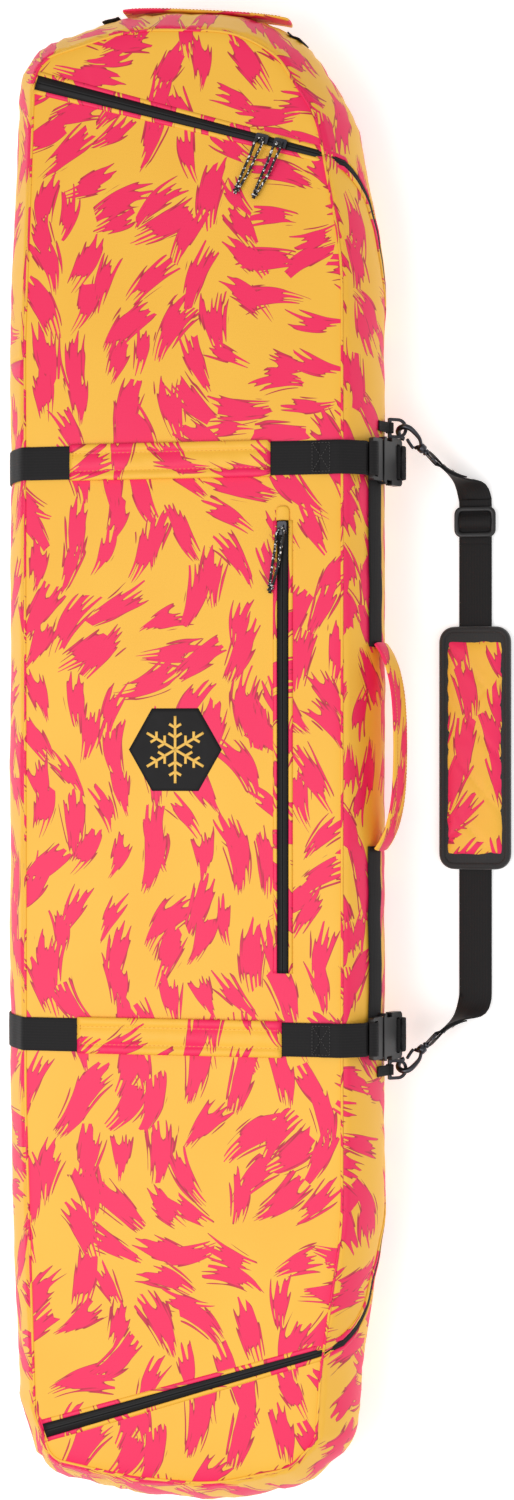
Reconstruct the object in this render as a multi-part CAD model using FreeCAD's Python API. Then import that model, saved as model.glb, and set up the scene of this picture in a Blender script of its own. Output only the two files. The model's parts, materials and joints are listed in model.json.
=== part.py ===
import FreeCAD, Part
import math
import os

from FreeCAD import Vector

# Padded snowboard bag, lying on its back panel. Millimetres.
# X runs across the bag, Y along it towards the top grab handle, Z up out of the front panel.
# The origin is the middle of the back panel's outer face.

# ---- driving dimensions -------------------------------------------------------------------
DEPTH = 150.0            # back panel to front panel
MID = DEPTH / 2          # height of the widest outline
INSET = 38.0             # how far the front and back seams stand inside the widest outline
WALL = 8.0               # padded wall
SEAM_X = 182.0           # front seams, left and right of the middle
GAP = 1.5                # zipper gap between the shell and the opening front
WEBBING = 38.0           # cinch, side and shoulder webbing
WEB_T = 2.0              # webbing thickness
SKIN_GAP = 0.2           # webbing and tape stand this clear of the fabric below

# Corners of the widest outline, each with the radius that rounds it.
OUTLINE = [
    (-223, 470, 900), (-210, 823, 75), (-62, 862, 260), (82, 852, 170), (140, 808, 100),
    (190, 728, 140), (221, 560, 500), (221, -530, 500), (197, -690, 300), (190, -785, 70),
    (142, -835, 90), (38, -861, 260), (-62, -858, 260), (-182, -838, 62), (-211, -755, 90),
    (-222, -400, 900),
]
CHORDS = 3               # chords in each rounded corner

# The zipper's two diagonals on the front panel, from the left front seam to the right one.
TOP_DIAGONAL = ((-SEAM_X, 772.0), (SEAM_X, 665.0))
LOW_DIAGONAL = ((-SEAM_X, -779.0), (SEAM_X, -661.0))
ZIP_Z = 40.0             # height of the zipper along the right gusset
ZIP_TOP_Y = 505.0        # where it turns along the gusset
ZIP_LOW_Y = -512.0
TAPE_T = 1.4
TAPE_LEFT = 7.5          # visible width of each tape at the left seam
TAPE_RIGHT = 3.0         # and at the right one

# Cinch straps.
STRAPS = {"top": 333.0, "bottom": -319.0}
SLEEVE_FROM = {"top": -131.0, "bottom": -122.0}
SLEEVE_TO = {"top": 102.0, "bottom": 115.0}
SLEEVE_T = 4.5
HINGE_CLEAR = 14.0       # bare panel beside the fold, so that the front can lie back

# Side-release buckle, drawn flat: x along the strap, y across it, z away from the bag.
BUCKLE_TILT = 22.0       # degrees from upright
BUCKLE_AT = (220.2, 97.4)    # x, z of the middle of its back face
BUCKLE_W = 54.0
BUCKLE_T = 9.0
BUCKLE_HALF = 31.0
BUCKLE_SPLIT = -9.0      # where the two halves meet
BUCKLE_SHELL = 2.2       # thickness of the socket's faces
BUCKLE_SLOT = (18.5, 25.0)   # the socket's webbing slot, from the middle
BUCKLE_BAR = (-27.0, -20.5)  # and the tongue's

# Side haul handle and the webbing along the gusset.
SIDE_WEB_Z = (95.0, 119.0)
HANDLE_Y = (-106.0, 125.0)
HANDLE_AT = (221.5, 84.0)    # x, z of its lower inner edge
HANDLE_TILT = 14.0
HANDLE_OUT = 24.0
HANDLE_W = 36.0
HANDLE_T = 5.0

# Top grab handle, from its left end to its right one.
GRAB_LEFT = (-84.0, 859.5)
GRAB_RIGHT = (112.0, 838.5)
GRAB_OUT = 16.0
GRAB_Z = 62.0

# D-rings, and the line that both of them and the whole shoulder strap swing about.
BAIL_X, BAIL_Z = 226.0, 76.0
RING_Y = {"top": 373.0, "bottom": -359.0}
RING_W = 16.0            # inside
RING_REACH = 17.0
TAB_W = 12.0
TAB_T = 1.6
TAB_BORE = 3.0           # radius, round the ring's bar
TAB_TOP = 99.0           # height where the tab is sewn on
RING_T = 3.6
RING_DIP = 35.0          # degrees below level
HOOK_ALONG = (0.622, -0.622, -0.475)     # top hook, from the ring to its eye
HOOK_ROLL = 130.0
HOOK_T = 6.0
RING_IN_HOOK = 6.0       # how far inside the hook the ring's bow lies
HOOK_ASIDE = 4.5         # and how far the hook has slid round the bow

# Front pocket.
POCKET_X = 116.0
POCKET_Y = (-245.0, 263.0)
POCKET_TAPE_W = 13.0

# Shoulder strap, lying on the ground beside the bag.
STRAP_X = 316.0
PAD_Y = (-133.0, 149.0)
PAD_W = 84.0
PAD_EDGE = 8.0           # width of the bound edge
PAD_RADIUS = 14.0
PAD_BACK = (0.6, 2.8)    # heights of the backing, the foam and the printed face
PAD_FOAM = (6.2, 13.0)
PAD_FACE = (13.1, 14.6)
STRAP_Z = 4.4
GLIDE_Y = 270.0
LOW_BEND_Y = -276.0       # where the webbing starts to rise to the lower hook
EYE_END = 53.2           # from a hook's corner to the webbing
TWIST_REACH = 30.0
TWIST_STEPS = 6
GLIDE_W, GLIDE_L = 46.0, 34.0

# Sliders and their doubled pull cords, and the printed emblem.
SLIDER_X = {"left": 93.0, "right": 114.0}
MAIN_PULL_WAY = (-0.46, -0.89)
MAIN_PULL = 66.0
POCKET_PULL_WAY = (-0.19, -0.98)
POCKET_PULL = 72.0
CORD_D = 3.2
EMBLEM_X, EMBLEM_Y, EMBLEM_R = -8.0, 6.0, 54.0
SLIDER_W, SLIDER_H, SLIDER_T = 15.0, 10.4, 4.0

FRONT_SKIN = DEPTH + SKIN_GAP
SLOT_HALF = WEBBING / 2 + 1


# ---- helpers -----------------------------------------------------------------------------
def rounded(corners):
    """Points of a closed outline, each corner rounded by chords of its arc."""
    points = []
    for i, (x, y, radius) in enumerate(corners):
        here = Vector(x, y, 0)
        before = Vector(*corners[i - 1][:2], 0) - here
        after = Vector(*corners[(i + 1) % len(corners)][:2], 0) - here
        half = before.getAngle(after) / 2
        centre_way = (before.normalize() + after.normalize()).normalize()
        centre = here + centre_way * (radius / math.sin(half))
        first = here + before * (radius / math.tan(half)) - centre
        turn = before.cross(centre_way).z
        sweep = math.pi - 2 * half
        for k in range(CHORDS + 1):
            angle = -math.copysign(sweep * k / CHORDS, turn)
            spot = FreeCAD.Rotation(Vector(0, 0, 1), math.degrees(angle)).multVec(first)
            points.append(centre + spot)
    return points


def grown(points, distance):
    """A convex clockwise outline moved outward by distance, its sides kept parallel."""
    moved = []
    for i, here in enumerate(points):
        before, after = points[i - 1], points[(i + 1) % len(points)]
        along_in = (here - before).normalize()
        along_out = (after - here).normalize()
        out_in = Vector(-along_in.y, along_in.x, 0)
        out_out = Vector(-along_out.y, along_out.x, 0)
        bisector = (out_in + out_out).normalize()
        moved.append(here + bisector * (distance / bisector.dot(out_in)))
    return moved


def prismoid(levels):
    """A solid through outlines with parallel sides: levels are (points, z)."""
    rings = [[Vector(p.x, p.y, z) for p in points] for points, z in levels]
    faces = [Part.Face(Part.makePolygon(ring + ring[:1])) for ring in (rings[0], rings[-1])]
    for low, high in zip(rings, rings[1:]):
        for i in range(len(low)):
            j = (i + 1) % len(low)
            faces.append(Part.Face(Part.makePolygon([low[i], low[j], high[j], high[i], low[i]])))
    return Part.makeSolid(Part.makeShell(faces).removeSplitter())


BASE = rounded(OUTLINE)


def inset_at(z):
    """How far the bulging side stands inside the widest outline at a height."""
    return INSET * ((z - MID) / MID) ** 2


def side_x(z):
    """Half the bag's width at a height, along its straight part."""
    return SEAM_X + INSET - inset_at(z)


def body(grow, low, high):
    """The bag's outer form, grown by a distance, between two heights."""
    heights = [low, 35.0, MID, 115.0, high]
    return prismoid([(grown(BASE, grow - inset_at(min(max(z, 0.0), DEPTH))), z) for z in heights])


def box(x0, x1, y0, y1, z0, z1):
    return Part.makeBox(x1 - x0, y1 - y0, z1 - z0, Vector(x0, y0, z0))


def plan(points, z0, z1):
    """A prism over an outline given in X and Y."""
    ring = [Vector(x, y, z0) for x, y in points]
    return Part.Face(Part.makePolygon(ring + ring[:1])).extrude(Vector(0, 0, z1 - z0))


def elevation(points, x0, x1):
    """A prism over an outline given in Y and Z."""
    ring = [Vector(x0, y, z) for y, z in points]
    return Part.Face(Part.makePolygon(ring + ring[:1])).extrude(Vector(x1 - x0, 0, 0))


def section(points, y0, y1):
    """A prism over an outline given in X and Z."""
    ring = [Vector(x, y0, z) for x, z in points]
    return Part.Face(Part.makePolygon(ring + ring[:1])).extrude(Vector(0, y1 - y0, 0))


def ribbon(stations, width, thickness):
    """Webbing through stations of (centre, direction across it), ruled from one to the next."""
    rings = []
    for i, (centre, across) in enumerate(stations):
        ahead = stations[min(i + 1, len(stations) - 1)][0] - stations[max(i - 1, 0)][0]
        up = ahead.cross(across).normalize()
        if up.z < 0:
            up = -up
        side = Vector(*across).normalize() * (width / 2)
        top = up * (thickness / 2)
        ring = [centre - side - top, centre + side - top, centre + side + top, centre - side + top]
        rings.append(Part.makePolygon(ring + ring[:1]))
    return Part.makeLoft(rings, True, True)


def rounded_plate(x0, x1, y0, y1, z0, z1, radius):
    """A plate with round upright corners."""
    plate = box(x0, x1, y0, y1, z0, z1)
    upright = [e for e in plate.Edges if abs(e.tangentAt(e.FirstParameter).z) > 0.9]
    return plate.makeFillet(radius, upright)


def strip(path, thickness):
    """Outline of a band of even thickness whose middle line is path, as pairs."""
    sides = ([], [])
    for i, (a, b) in enumerate(path):
        here = Vector(a, b, 0)
        before = Vector(*path[max(i - 1, 0)], 0)
        after = Vector(*path[min(i + 1, len(path) - 1)], 0)
        ways = [w.normalize() for w in (here - before, after - here) if w.Length > 0]
        bisector = ways[0] + ways[-1]
        bisector.normalize()
        out = Vector(-bisector.y, bisector.x, 0)
        reach = thickness / 2 / abs(out.dot(Vector(-ways[0].y, ways[0].x, 0)))
        for side, sign in zip(sides, (1, -1)):
            spot = here + out * (sign * reach)
            side.append((spot.x, spot.y))
    return sides[0] + sides[1][::-1]


def arch(length, rise, width, thickness):
    """A band bowed out from a straight line: x along it, y across its width, z outward."""
    shares = ((0, 0), (0.05, 0.34), (0.14, 0.68), (0.28, 0.92), (0.5, 1.0),
              (0.72, 0.92), (0.86, 0.68), (0.95, 0.34), (1, 0))
    path = [(length * along, rise * out + thickness / 2) for along, out in shares]
    ring = [Vector(x, 0, z) for x, z in strip(path, thickness)]
    return Part.Face(Part.makePolygon(ring + ring[:1])).extrude(Vector(0, width, 0))


def cord(points, diameter):
    """A cord along straight runs joined by tangent arcs."""
    edges, start = [], points[0]
    for i in range(1, len(points) - 1):
        back, ahead = points[i - 1] - points[i], points[i + 1] - points[i]
        shorter = min(back.Length, ahead.Length)
        half = (math.pi - back.getAngle(ahead)) / 2
        radius = 0.45 * shorter / math.tan(half)
        back.normalize()
        ahead.normalize()
        inner = (back + ahead).normalize()
        reach = 0.45 * shorter
        middle = points[i] + inner * (radius / math.cos(half) - radius)
        first, last = points[i] + back * reach, points[i] + ahead * reach
        edges.append(Part.LineSegment(start, first).toShape())
        edges.append(Part.Arc(first, middle, last).toShape())
        start = last
    edges.append(Part.LineSegment(start, points[-1]).toShape())
    path = Part.Wire(edges)
    direction = points[1] - points[0]
    ring = Part.Wire(Part.makeCircle(diameter / 2, points[0], direction))
    return path.makePipeShell([ring], True, False)


def placed(shape, corner, u, v, n):
    """A shape drawn on X, Y, Z moved to the frame u, v, n at a corner."""
    matrix = FreeCAD.Matrix(u.x, v.x, n.x, corner.x, u.y, v.y, n.y, corner.y,
                            u.z, v.z, n.z, corner.z, 0, 0, 0, 1)
    moved = shape.copy()
    moved.Placement = FreeCAD.Placement(matrix).multiply(moved.Placement)
    return moved


def group(*shapes):
    """Separate pieces in one node."""
    return Part.makeCompound([s for shape in shapes for s in shape.Solids])


# ---- regions -----------------------------------------------------------------------------
def diagonal_y(diagonal, x):
    (x0, y0), (x1, y1) = diagonal
    return y0 + (y1 - y0) * (x - x0) / (x1 - x0)


def lid_plan(at_left, at_right):
    """The opening part of the front panel, drawn in from the zipper's line at each seam."""
    ends = ((-SEAM_X + 0.6, at_left), (SEAM_X + INSET + 10, at_right))
    upper = [(x, diagonal_y(TOP_DIAGONAL, x) - inner) for x, inner in ends]
    lower = [(x, diagonal_y(LOW_DIAGONAL, x) + inner) for x, inner in ends]
    return upper + lower[::-1]


def lid_elevation(inner):
    """The opening part of the right gusset, seen from the side."""
    low = ZIP_Z + inner
    points = []
    for sign, turn_y, seam_y in ((1, ZIP_TOP_Y, TOP_DIAGONAL[1][1]), (-1, ZIP_LOW_Y, LOW_DIAGONAL[1][1])):
        side = [
            (seam_y - sign * inner, DEPTH + 12),
            (seam_y - sign * inner, DEPTH - 2),
            (seam_y - sign * (33 + inner), 112),
            (seam_y - sign * (60 + inner), 92),
            (turn_y + sign * (38 - inner), ZIP_Z + 36 + inner * 0.4),
            (turn_y - sign * inner * 0.6, low + 11),
            (turn_y - sign * 42, low),
        ]
        points += side if sign > 0 else side[::-1]
    return points


HALF_GAP = GAP / 2
FAR = 400.0
FRONT = box(-FAR, FAR, -900, 900, DEPTH - WALL, DEPTH + 20)
BAND = box(-FAR, FAR, -900, 900, WALL, DEPTH - WALL)
LID_PLAN = plan(lid_plan(HALF_GAP, HALF_GAP), DEPTH - WALL, DEPTH + 20)
LID_HOLE = plan(lid_plan(-HALF_GAP, -HALF_GAP), DEPTH - WALL, DEPTH + 20)
LID_SIDE = elevation(lid_elevation(HALF_GAP), 100, FAR)
LID_SIDE_HOLE = elevation(lid_elevation(-HALF_GAP), 100, FAR)

OUTER = body(0, 0, DEPTH)
CAVITY = prismoid([(grown(BASE, -WALL - inset_at(z)), z)
                   for z in (WALL, 35.0, MID, 115.0, DEPTH - WALL)])
HOLLOW = OUTER.cut(CAVITY)
END_Y = 640.0            # the end gussets meet the side panels here

nodes = {}


def skin(thickness, clear=SKIN_GAP):
    """A layer of even thickness lying on the bag."""
    return body(clear + thickness, 1.0, DEPTH + clear + thickness).cut(body(clear, 0.0, DEPTH + clear))


# ---- shell and opening front -------------------------------------------------------------
def shell_panels():
    ring = HOLLOW.common(BAND).cut(LID_SIDE_HOLE)
    rim = HOLLOW.common(FRONT).cut(LID_HOLE).cut(LID_SIDE_HOLE)
    above = [(x, diagonal_y(TOP_DIAGONAL, x)) for x in (-FAR, FAR)] + [(FAR, 900), (-FAR, 900)]
    below = [(x, diagonal_y(LOW_DIAGONAL, x)) for x in (-FAR, FAR)] + [(FAR, -900), (-FAR, -900)]
    nodes["top_end_panel"] = rim.common(plan(above, 0, 200))
    nodes["bottom_end_panel"] = rim.common(plan(below, 0, 200))
    edge = rim.common(box(-FAR, -100, -900, 900, 0, 200)).cut(plan(above, 0, 200)).cut(plan(below, 0, 200))
    wall = ring.fuse(edge)
    foam = grown(BASE, -WALL - INSET - 1.5)
    nodes["back_panel"] = HOLLOW.common(box(-FAR, FAR, -900, 900, 0, WALL))
    nodes["back_foam"] = prismoid([(foam, WALL + 0.2), (foam, WALL + 5)])
    nodes["left_side_panel"] = wall.common(box(-FAR, 0, -END_Y, END_Y, 0, DEPTH))
    nodes["right_side_panel"] = ring.common(box(0, FAR, -END_Y, END_Y, 0, DEPTH))
    nodes["top_gusset"] = wall.common(box(-FAR, FAR, END_Y, 900, 0, DEPTH))
    nodes["bottom_gusset"] = wall.common(box(-FAR, FAR, -900, -END_Y, 0, DEPTH))


def lid_panels():
    panel = HOLLOW.common(FRONT).common(LID_PLAN)
    side = HOLLOW.common(LID_SIDE)
    nodes["lid_front_panel"] = panel.common(box(-SEAM_X + 0.6, SEAM_X - 1, -900, 900, 0, 200))
    nodes["lid_side_panel"] = side.common(BAND).fuse(
        side.common(LID_PLAN).common(box(SEAM_X - 1, FAR, -900, 900, 0, 200))).removeSplitter()


def main_zipper():
    """The two halves of the zipper tape, each in three lengths round the opening front."""
    layer = skin(TAPE_T)
    front, side = layer.common(FRONT), layer.common(BAND)
    wide, narrow = HALF_GAP + TAPE_LEFT, HALF_GAP + TAPE_RIGHT
    inner_plan = plan(lid_plan(wide, narrow), 0, DEPTH + 20)
    outer_plan = plan(lid_plan(-wide, -narrow), 0, DEPTH + 20)
    inner_side = elevation(lid_elevation(narrow), 100, FAR)
    outer_side = elevation(lid_elevation(-narrow), 100, FAR)
    left_of_seam = box(-SEAM_X + 0.6, SEAM_X - 1, -900, 900, DEPTH, 200)
    nodes["main_zipper_tape_lid"] = group(
        front.common(LID_PLAN).cut(inner_plan).common(left_of_seam),
        side.common(LID_SIDE).cut(inner_side))
    nodes["main_zipper_tape_shell"] = group(
        front.common(outer_plan).cut(LID_HOLE).common(left_of_seam),
        side.common(outer_side).cut(LID_SIDE_HOLE))


# ---- front pocket ------------------------------------------------------------------------
def front_pocket():
    low, high = POCKET_Y
    x0, x1 = POCKET_X - POCKET_TAPE_W / 2, POCKET_X + POCKET_TAPE_W / 2
    nodes["pocket_zipper_tape"] = box(x0, x1, low, high, FRONT_SKIN, FRONT_SKIN + TAPE_T)
    nodes["pocket_garage"] = rounded_plate(x0 - 1, x1 + 1, high + 0.5, high + 16, FRONT_SKIN,
                                           FRONT_SKIN + 2.2, 3)
    inside = DEPTH - WALL
    nodes["pocket_pouch"] = rounded_plate(-120, 130, low - 20, high + 20, inside - 5, inside - 0.3, 25)
    nodes["emblem"] = plan([(EMBLEM_X + EMBLEM_R * math.cos(math.radians(60 * k)),
                             EMBLEM_Y + EMBLEM_R * math.sin(math.radians(60 * k)))
                            for k in range(6)], FRONT_SKIN, FRONT_SKIN + 0.6)


# ---- cinch straps ------------------------------------------------------------------------
def buckle_frame(y):
    tilt = math.radians(BUCKLE_TILT)
    along = Vector(math.sin(tilt), 0, -math.cos(tilt))
    out = Vector(math.cos(tilt), 0, math.sin(tilt))
    return Vector(BUCKLE_AT[0], y, BUCKLE_AT[1]), along, Vector(0, 1, 0), out


def buckle_female():
    half = BUCKLE_W / 2
    shell = rounded_plate(BUCKLE_SPLIT, BUCKLE_HALF, -half, half, 0, BUCKLE_T, 5)
    socket = box(BUCKLE_SPLIT - 1, 13, -half + 3, half - 3, BUCKLE_SHELL, BUCKLE_T - BUCKLE_SHELL)
    slot = box(*BUCKLE_SLOT, -SLOT_HALF, SLOT_HALF, -1, BUCKLE_T + 1)
    windows = [box(-3, 8, y, y + 7, -1, BUCKLE_T + 1) for y in (-half - 2, half - 5)]
    return shell.cut(socket).cut(slot).cut(windows[0]).cut(windows[1])


def buckle_male():
    half = BUCKLE_W / 2
    base = rounded_plate(-BUCKLE_HALF, BUCKLE_SPLIT - 0.6, -half + 3, half - 3, 1.5, BUCKLE_T - 1.5, 3)
    slot = box(*BUCKLE_BAR, -SLOT_HALF, SLOT_HALF, -1, BUCKLE_T + 1)
    piece = base.cut(slot).fuse(box(BUCKLE_SPLIT - 2, 9, -4, 4, 3, BUCKLE_T - 3))
    for side in (-1, 1):
        arm = [(BUCKLE_SPLIT - 2, side * 14), (-4, side * 17), (7, side * 21.5), (9.5, side * 19.5),
               (9.5, side * 16.5), (-2, side * 13), (BUCKLE_SPLIT - 2, side * 10)]
        piece = piece.fuse(plan(arm, 2.7, BUCKLE_T - 2.7))
    return piece


def cinch_straps():
    layer = skin(WEB_T)
    front_z = FRONT_SKIN + WEB_T
    left, tails = [], []
    for end, y in STRAPS.items():
        y0, y1 = y - WEBBING / 2, y + WEBBING / 2
        nodes["strap_webbing_" + end] = box(-SEAM_X + HINGE_CLEAR, SEAM_X - 4, y0, y1, FRONT_SKIN, front_z)
        nodes["strap_sleeve_" + end] = rounded_plate(
            SLEEVE_FROM[end], SLEEVE_TO[end], y0 - 1, y1 + 1, front_z + 0.2, front_z + 0.2 + SLEEVE_T, 3)
        left.append(layer.common(box(-FAR, -SEAM_X - 0.8, y0, y1, 12, DEPTH - 1.5)))
        frame = buckle_frame(y)
        loop = [frame[0] + frame[1] * 21.9 + frame[3] * n for n in (6.4, -1.7)]
        tail = strip([(p.x, p.z) for p in loop] + [(221.6, 64.0), (218.4, 50.0)], WEB_T)
        tails.append(section(tail, y0, y1))
        nodes["buckle_female_" + end] = placed(buckle_female(), *frame)
        nodes["buckle_male_" + end] = placed(buckle_male(), *frame)
        bar = [frame[0] + frame[1] * u + frame[3] * n for u, n in ((-34, -0.4), (-26.5, -0.2), (-22.5, 5))]
        path = [(SEAM_X - 3.2, DEPTH + 1.4), (SEAM_X + 1.6, DEPTH + 1.0)] + [(p.x, p.z) for p in bar]
        nodes["strap_end_" + end] = section(strip(path, WEB_T), y0, y1)
    nodes["strap_webbing_left"] = group(*left)
    nodes["buckle_tails"] = group(*tails)


# ---- handles -----------------------------------------------------------------------------
def side_handle():
    low, high = HANDLE_Y
    tilt = math.radians(HANDLE_TILT)
    corner = Vector(HANDLE_AT[0], low, HANDLE_AT[1])
    band = arch(high - low, HANDLE_OUT, HANDLE_W, HANDLE_T)
    nodes["side_handle"] = placed(band, corner, Vector(0, 1, 0), Vector(-math.sin(tilt), 0, math.cos(tilt)),
                                  Vector(math.cos(tilt), 0, math.sin(tilt)))
    layer = skin(WEB_T)
    z0, z1 = SIDE_WEB_Z
    reach = BUCKLE_W / 2
    spans = ((low - 4, STRAPS["bottom"] - reach + 8), (high + 4, STRAPS["top"] + reach - 8))
    nodes["side_webbing"] = group(*(layer.common(box(0, FAR, min(s), max(s), z0, z1)) for s in spans))


def grab_handle():
    left, right = (Vector(x, y, GRAB_Z) for x, y in (GRAB_LEFT, GRAB_RIGHT))
    along = (left - right).normalize()
    up = Vector(0, 0, 1)
    band = arch((left - right).Length, GRAB_OUT, HANDLE_W, HANDLE_T - 1)
    nodes["top_handle"] = placed(band, right, along, up, along.cross(up))
    layer = skin(WEB_T)
    z1 = GRAB_Z + HANDLE_W
    centres = (GRAB_LEFT[0] - 18, GRAB_RIGHT[0] + 18)
    tabs = [layer.common(box(x - 13, x + 13, 700, 900, GRAB_Z, z1)) for x in centres]
    nodes["top_handle_tabs"] = group(*tabs)


# ---- shoulder strap ----------------------------------------------------------------------
def ring_tab(y):
    """A webbing loop sewn to the gusset, round the straight bar of a D-ring."""
    path = [(side_x(TAB_TOP) + 1.6, TAB_TOP), (BAIL_X - 2.6, BAIL_Z + 8), (BAIL_X, BAIL_Z + 3.6)]
    start = y - TAB_W / 2
    loop = Part.makeCylinder(TAB_BORE + TAB_T, TAB_W, Vector(BAIL_X, start, BAIL_Z), Vector(0, 1, 0))
    bore = Part.makeCylinder(TAB_BORE, TAB_W, Vector(BAIL_X, start, BAIL_Z), Vector(0, 1, 0))
    return section(strip(path, TAB_T), start, start + TAB_W).fuse(loop).cut(bore)


def d_ring(y):
    """Drawn flat with its bar along Y, then dipped towards the ground."""
    reach, half, wide = RING_REACH, RING_W / 2, RING_T

    def outline(grow):
        bow = [Vector(-grow, -half - grow, 0), Vector(reach - half, -half - grow, 0),
               Vector(reach + grow, 0, 0), Vector(reach - half, half + grow, 0), Vector(-grow, half + grow, 0)]
        edges = [Part.LineSegment(bow[0], bow[1]), Part.Arc(bow[1], bow[2], bow[3]),
                 Part.LineSegment(bow[3], bow[4]), Part.LineSegment(bow[4], bow[0])]
        return Part.Face(Part.Wire([e.toShape() for e in edges])).extrude(Vector(0, 0, wide))

    flat = outline(wide).cut(outline(0))
    flat.translate(Vector(wide / 2, 0, -wide / 2))
    dip = math.radians(RING_DIP)
    return placed(flat, Vector(BAIL_X, y, BAIL_Z), Vector(math.cos(dip), 0, -math.sin(dip)), Vector(0, 1, 0),
                  Vector(math.sin(dip), 0, math.cos(dip)))


def hook_frame(end):
    """Corner at the ring's bow, with directions along the hook, across it and through it."""
    along = Vector(*HOOK_ALONG).normalize()
    level = Vector(-along.y, along.x, 0).normalize()
    through = level * math.cos(math.radians(HOOK_ROLL)) + along.cross(level) * math.sin(math.radians(HOOK_ROLL))
    across = through.cross(along)
    dip = math.radians(RING_DIP)
    bow = RING_REACH + RING_T
    if end == "bottom":
        along, across, through = (Vector(d.x, -d.y, d.z) for d in (along, -across, through))
    y = RING_Y[end] + math.copysign(HOOK_ASIDE, along.y)
    corner = Vector(BAIL_X + bow * math.cos(dip), y, BAIL_Z - bow * math.sin(dip)) - along * RING_IN_HOOK
    return corner, along, across, through


def snap_hooks():
    half = HOOK_T / 2
    mirror = {"top": 1, "bottom": -1}
    curve = [(13, -8.6), (6, -9.2), (-0.5, -6), (-3.5, 0), (-0.5, 6), (6, 9.2), (20, 8.6), (28, 4.6), (31, 0)]
    for end, side in mirror.items():
        frame = hook_frame(end)
        outline = [(a, side * b) for a, b in strip(curve, 5.4)]
        form = plan(outline, -half, half).fuse(box(29.5, 37, -5.5, 5.5, -half, half))
        lug = plan([(26.5, side * -3.0), (31, side * -3.0), (31, side * -5), (29.4, side * -5)], -half, half)
        nodes["hook_" + end] = placed(form.fuse(lug).removeSplitter(), *frame)
        lever = Part.makeCylinder(2.2, HOOK_T - 1, Vector(26.5, side * -8.2, -half + 0.5))
        blade = plan(strip([(25.5, side * -8.3), (13.6, side * -4.6)], 2.6), -half + 0.5, half - 0.5)
        nodes["hook_gate_" + end] = placed(lever.fuse(blade).removeSplitter(), *frame)
        post = Part.makeCylinder(2.6, 4.6, Vector(37.2, 0, 0), Vector(1, 0, 0))
        eye = box(41.5, 52, -2, 2, -22.5, 22.5).cut(box(44.3, 49, -3, 3, -19.3, 19.3))
        nodes["hook_eye_" + end] = placed(post.fuse(eye).removeSplitter(), *eye_frame(frame))


def eye_frame(frame):
    """The swivel lets the eye stand with its long side upright."""
    corner, along = frame[0], frame[1]
    flat = Vector(-along.y, along.x, 0).normalize()
    upright = along.cross(flat)
    return corner, along, flat, upright


def twist(start, along, upright, end):
    """Stations from a hook's eye down to the level webbing, turning evenly as they fall."""
    flat = Vector(1, 0, 0)
    ahead = Vector(0, -math.copysign(1, start.y), 0)
    knots = (start, start + along * TWIST_REACH, end - ahead * TWIST_REACH, end)
    stations = []
    for k in range(TWIST_STEPS + 1):
        t = k / TWIST_STEPS
        weights = ((1 - t) ** 3, 3 * t * (1 - t) ** 2, 3 * t * t * (1 - t), t ** 3)
        centre = Vector()
        for knot, weight in zip(knots, weights):
            centre += knot * weight
        turned = t * t * (3 - 2 * t)
        stations.append((centre, upright * (1 - turned) + flat * turned))
    return stations


def shoulder_webbing():
    level = {"top": GLIDE_Y + 20.0, "bottom": LOW_BEND_Y}
    for end, y in level.items():
        corner, along, _, upright = eye_frame(hook_frame(end))
        gap = math.copysign(0.4, y)
        stations = twist(corner + along * EYE_END, along, upright, Vector(STRAP_X, y + gap, STRAP_Z))
        nodes["shoulder_webbing_" + end] = ribbon(stations, WEBBING, WEB_T)
    straight = [(Vector(STRAP_X, y, STRAP_Z), Vector(1, 0, 0)) for y in level.values()]
    nodes["shoulder_webbing"] = ribbon(straight, WEBBING, WEB_T)


def tri_glide():
    """Rails beside the webbing, a middle bar over it and an end bar under it at each end."""
    x0, x1 = STRAP_X - GLIDE_W / 2, STRAP_X + GLIDE_W / 2
    y0, y1 = GLIDE_Y - GLIDE_L / 2, GLIDE_Y + GLIDE_L / 2
    top, under = STRAP_Z + WEB_T / 2 + 0.4, STRAP_Z - WEB_T / 2 - 0.4
    rails = [box(a, a + 3.6, y0, y1, 0.6, top + 2.4) for a in (x0, x1 - 3.6)]
    bars = [box(x0, x1, GLIDE_Y - 3, GLIDE_Y + 3, top, top + 2.4), box(x0, x1, y0, y0 + 4, 0.6, under),
            box(x0, x1, y1 - 4, y1, 0.6, under)]
    frame = rails[0]
    for piece in rails[1:] + bars:
        frame = frame.fuse(piece)
    nodes["tri_glide"] = frame.removeSplitter()


def shoulder_pad():
    y0, y1 = PAD_Y
    x0, x1 = STRAP_X - PAD_W / 2, STRAP_X + PAD_W / 2
    slot = box(STRAP_X - WEBBING / 2 - 0.6, STRAP_X + WEBBING / 2 + 0.6, y0 - 5, y1 + 5,
               STRAP_Z - WEB_T / 2 - 0.4, STRAP_Z + WEB_T / 2 + 0.4)

    def layer(inset, low, high, radius):
        return rounded_plate(x0 + inset, x1 - inset, y0 + inset, y1 - inset, low, high, radius)

    hole = layer(PAD_EDGE, 0, PAD_FACE[1] + 1, PAD_EDGE)
    nodes["pad_binding"] = layer(0, PAD_BACK[0], PAD_FACE[1], PAD_RADIUS).cut(hole).cut(slot)
    inner = PAD_EDGE + 0.3
    nodes["pad_backing"] = layer(inner, *PAD_BACK, PAD_EDGE)
    nodes["pad_foam"] = layer(inner, *PAD_FOAM, PAD_EDGE)
    nodes["pad_insert"] = layer(inner, *PAD_FACE, PAD_EDGE)


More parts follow.
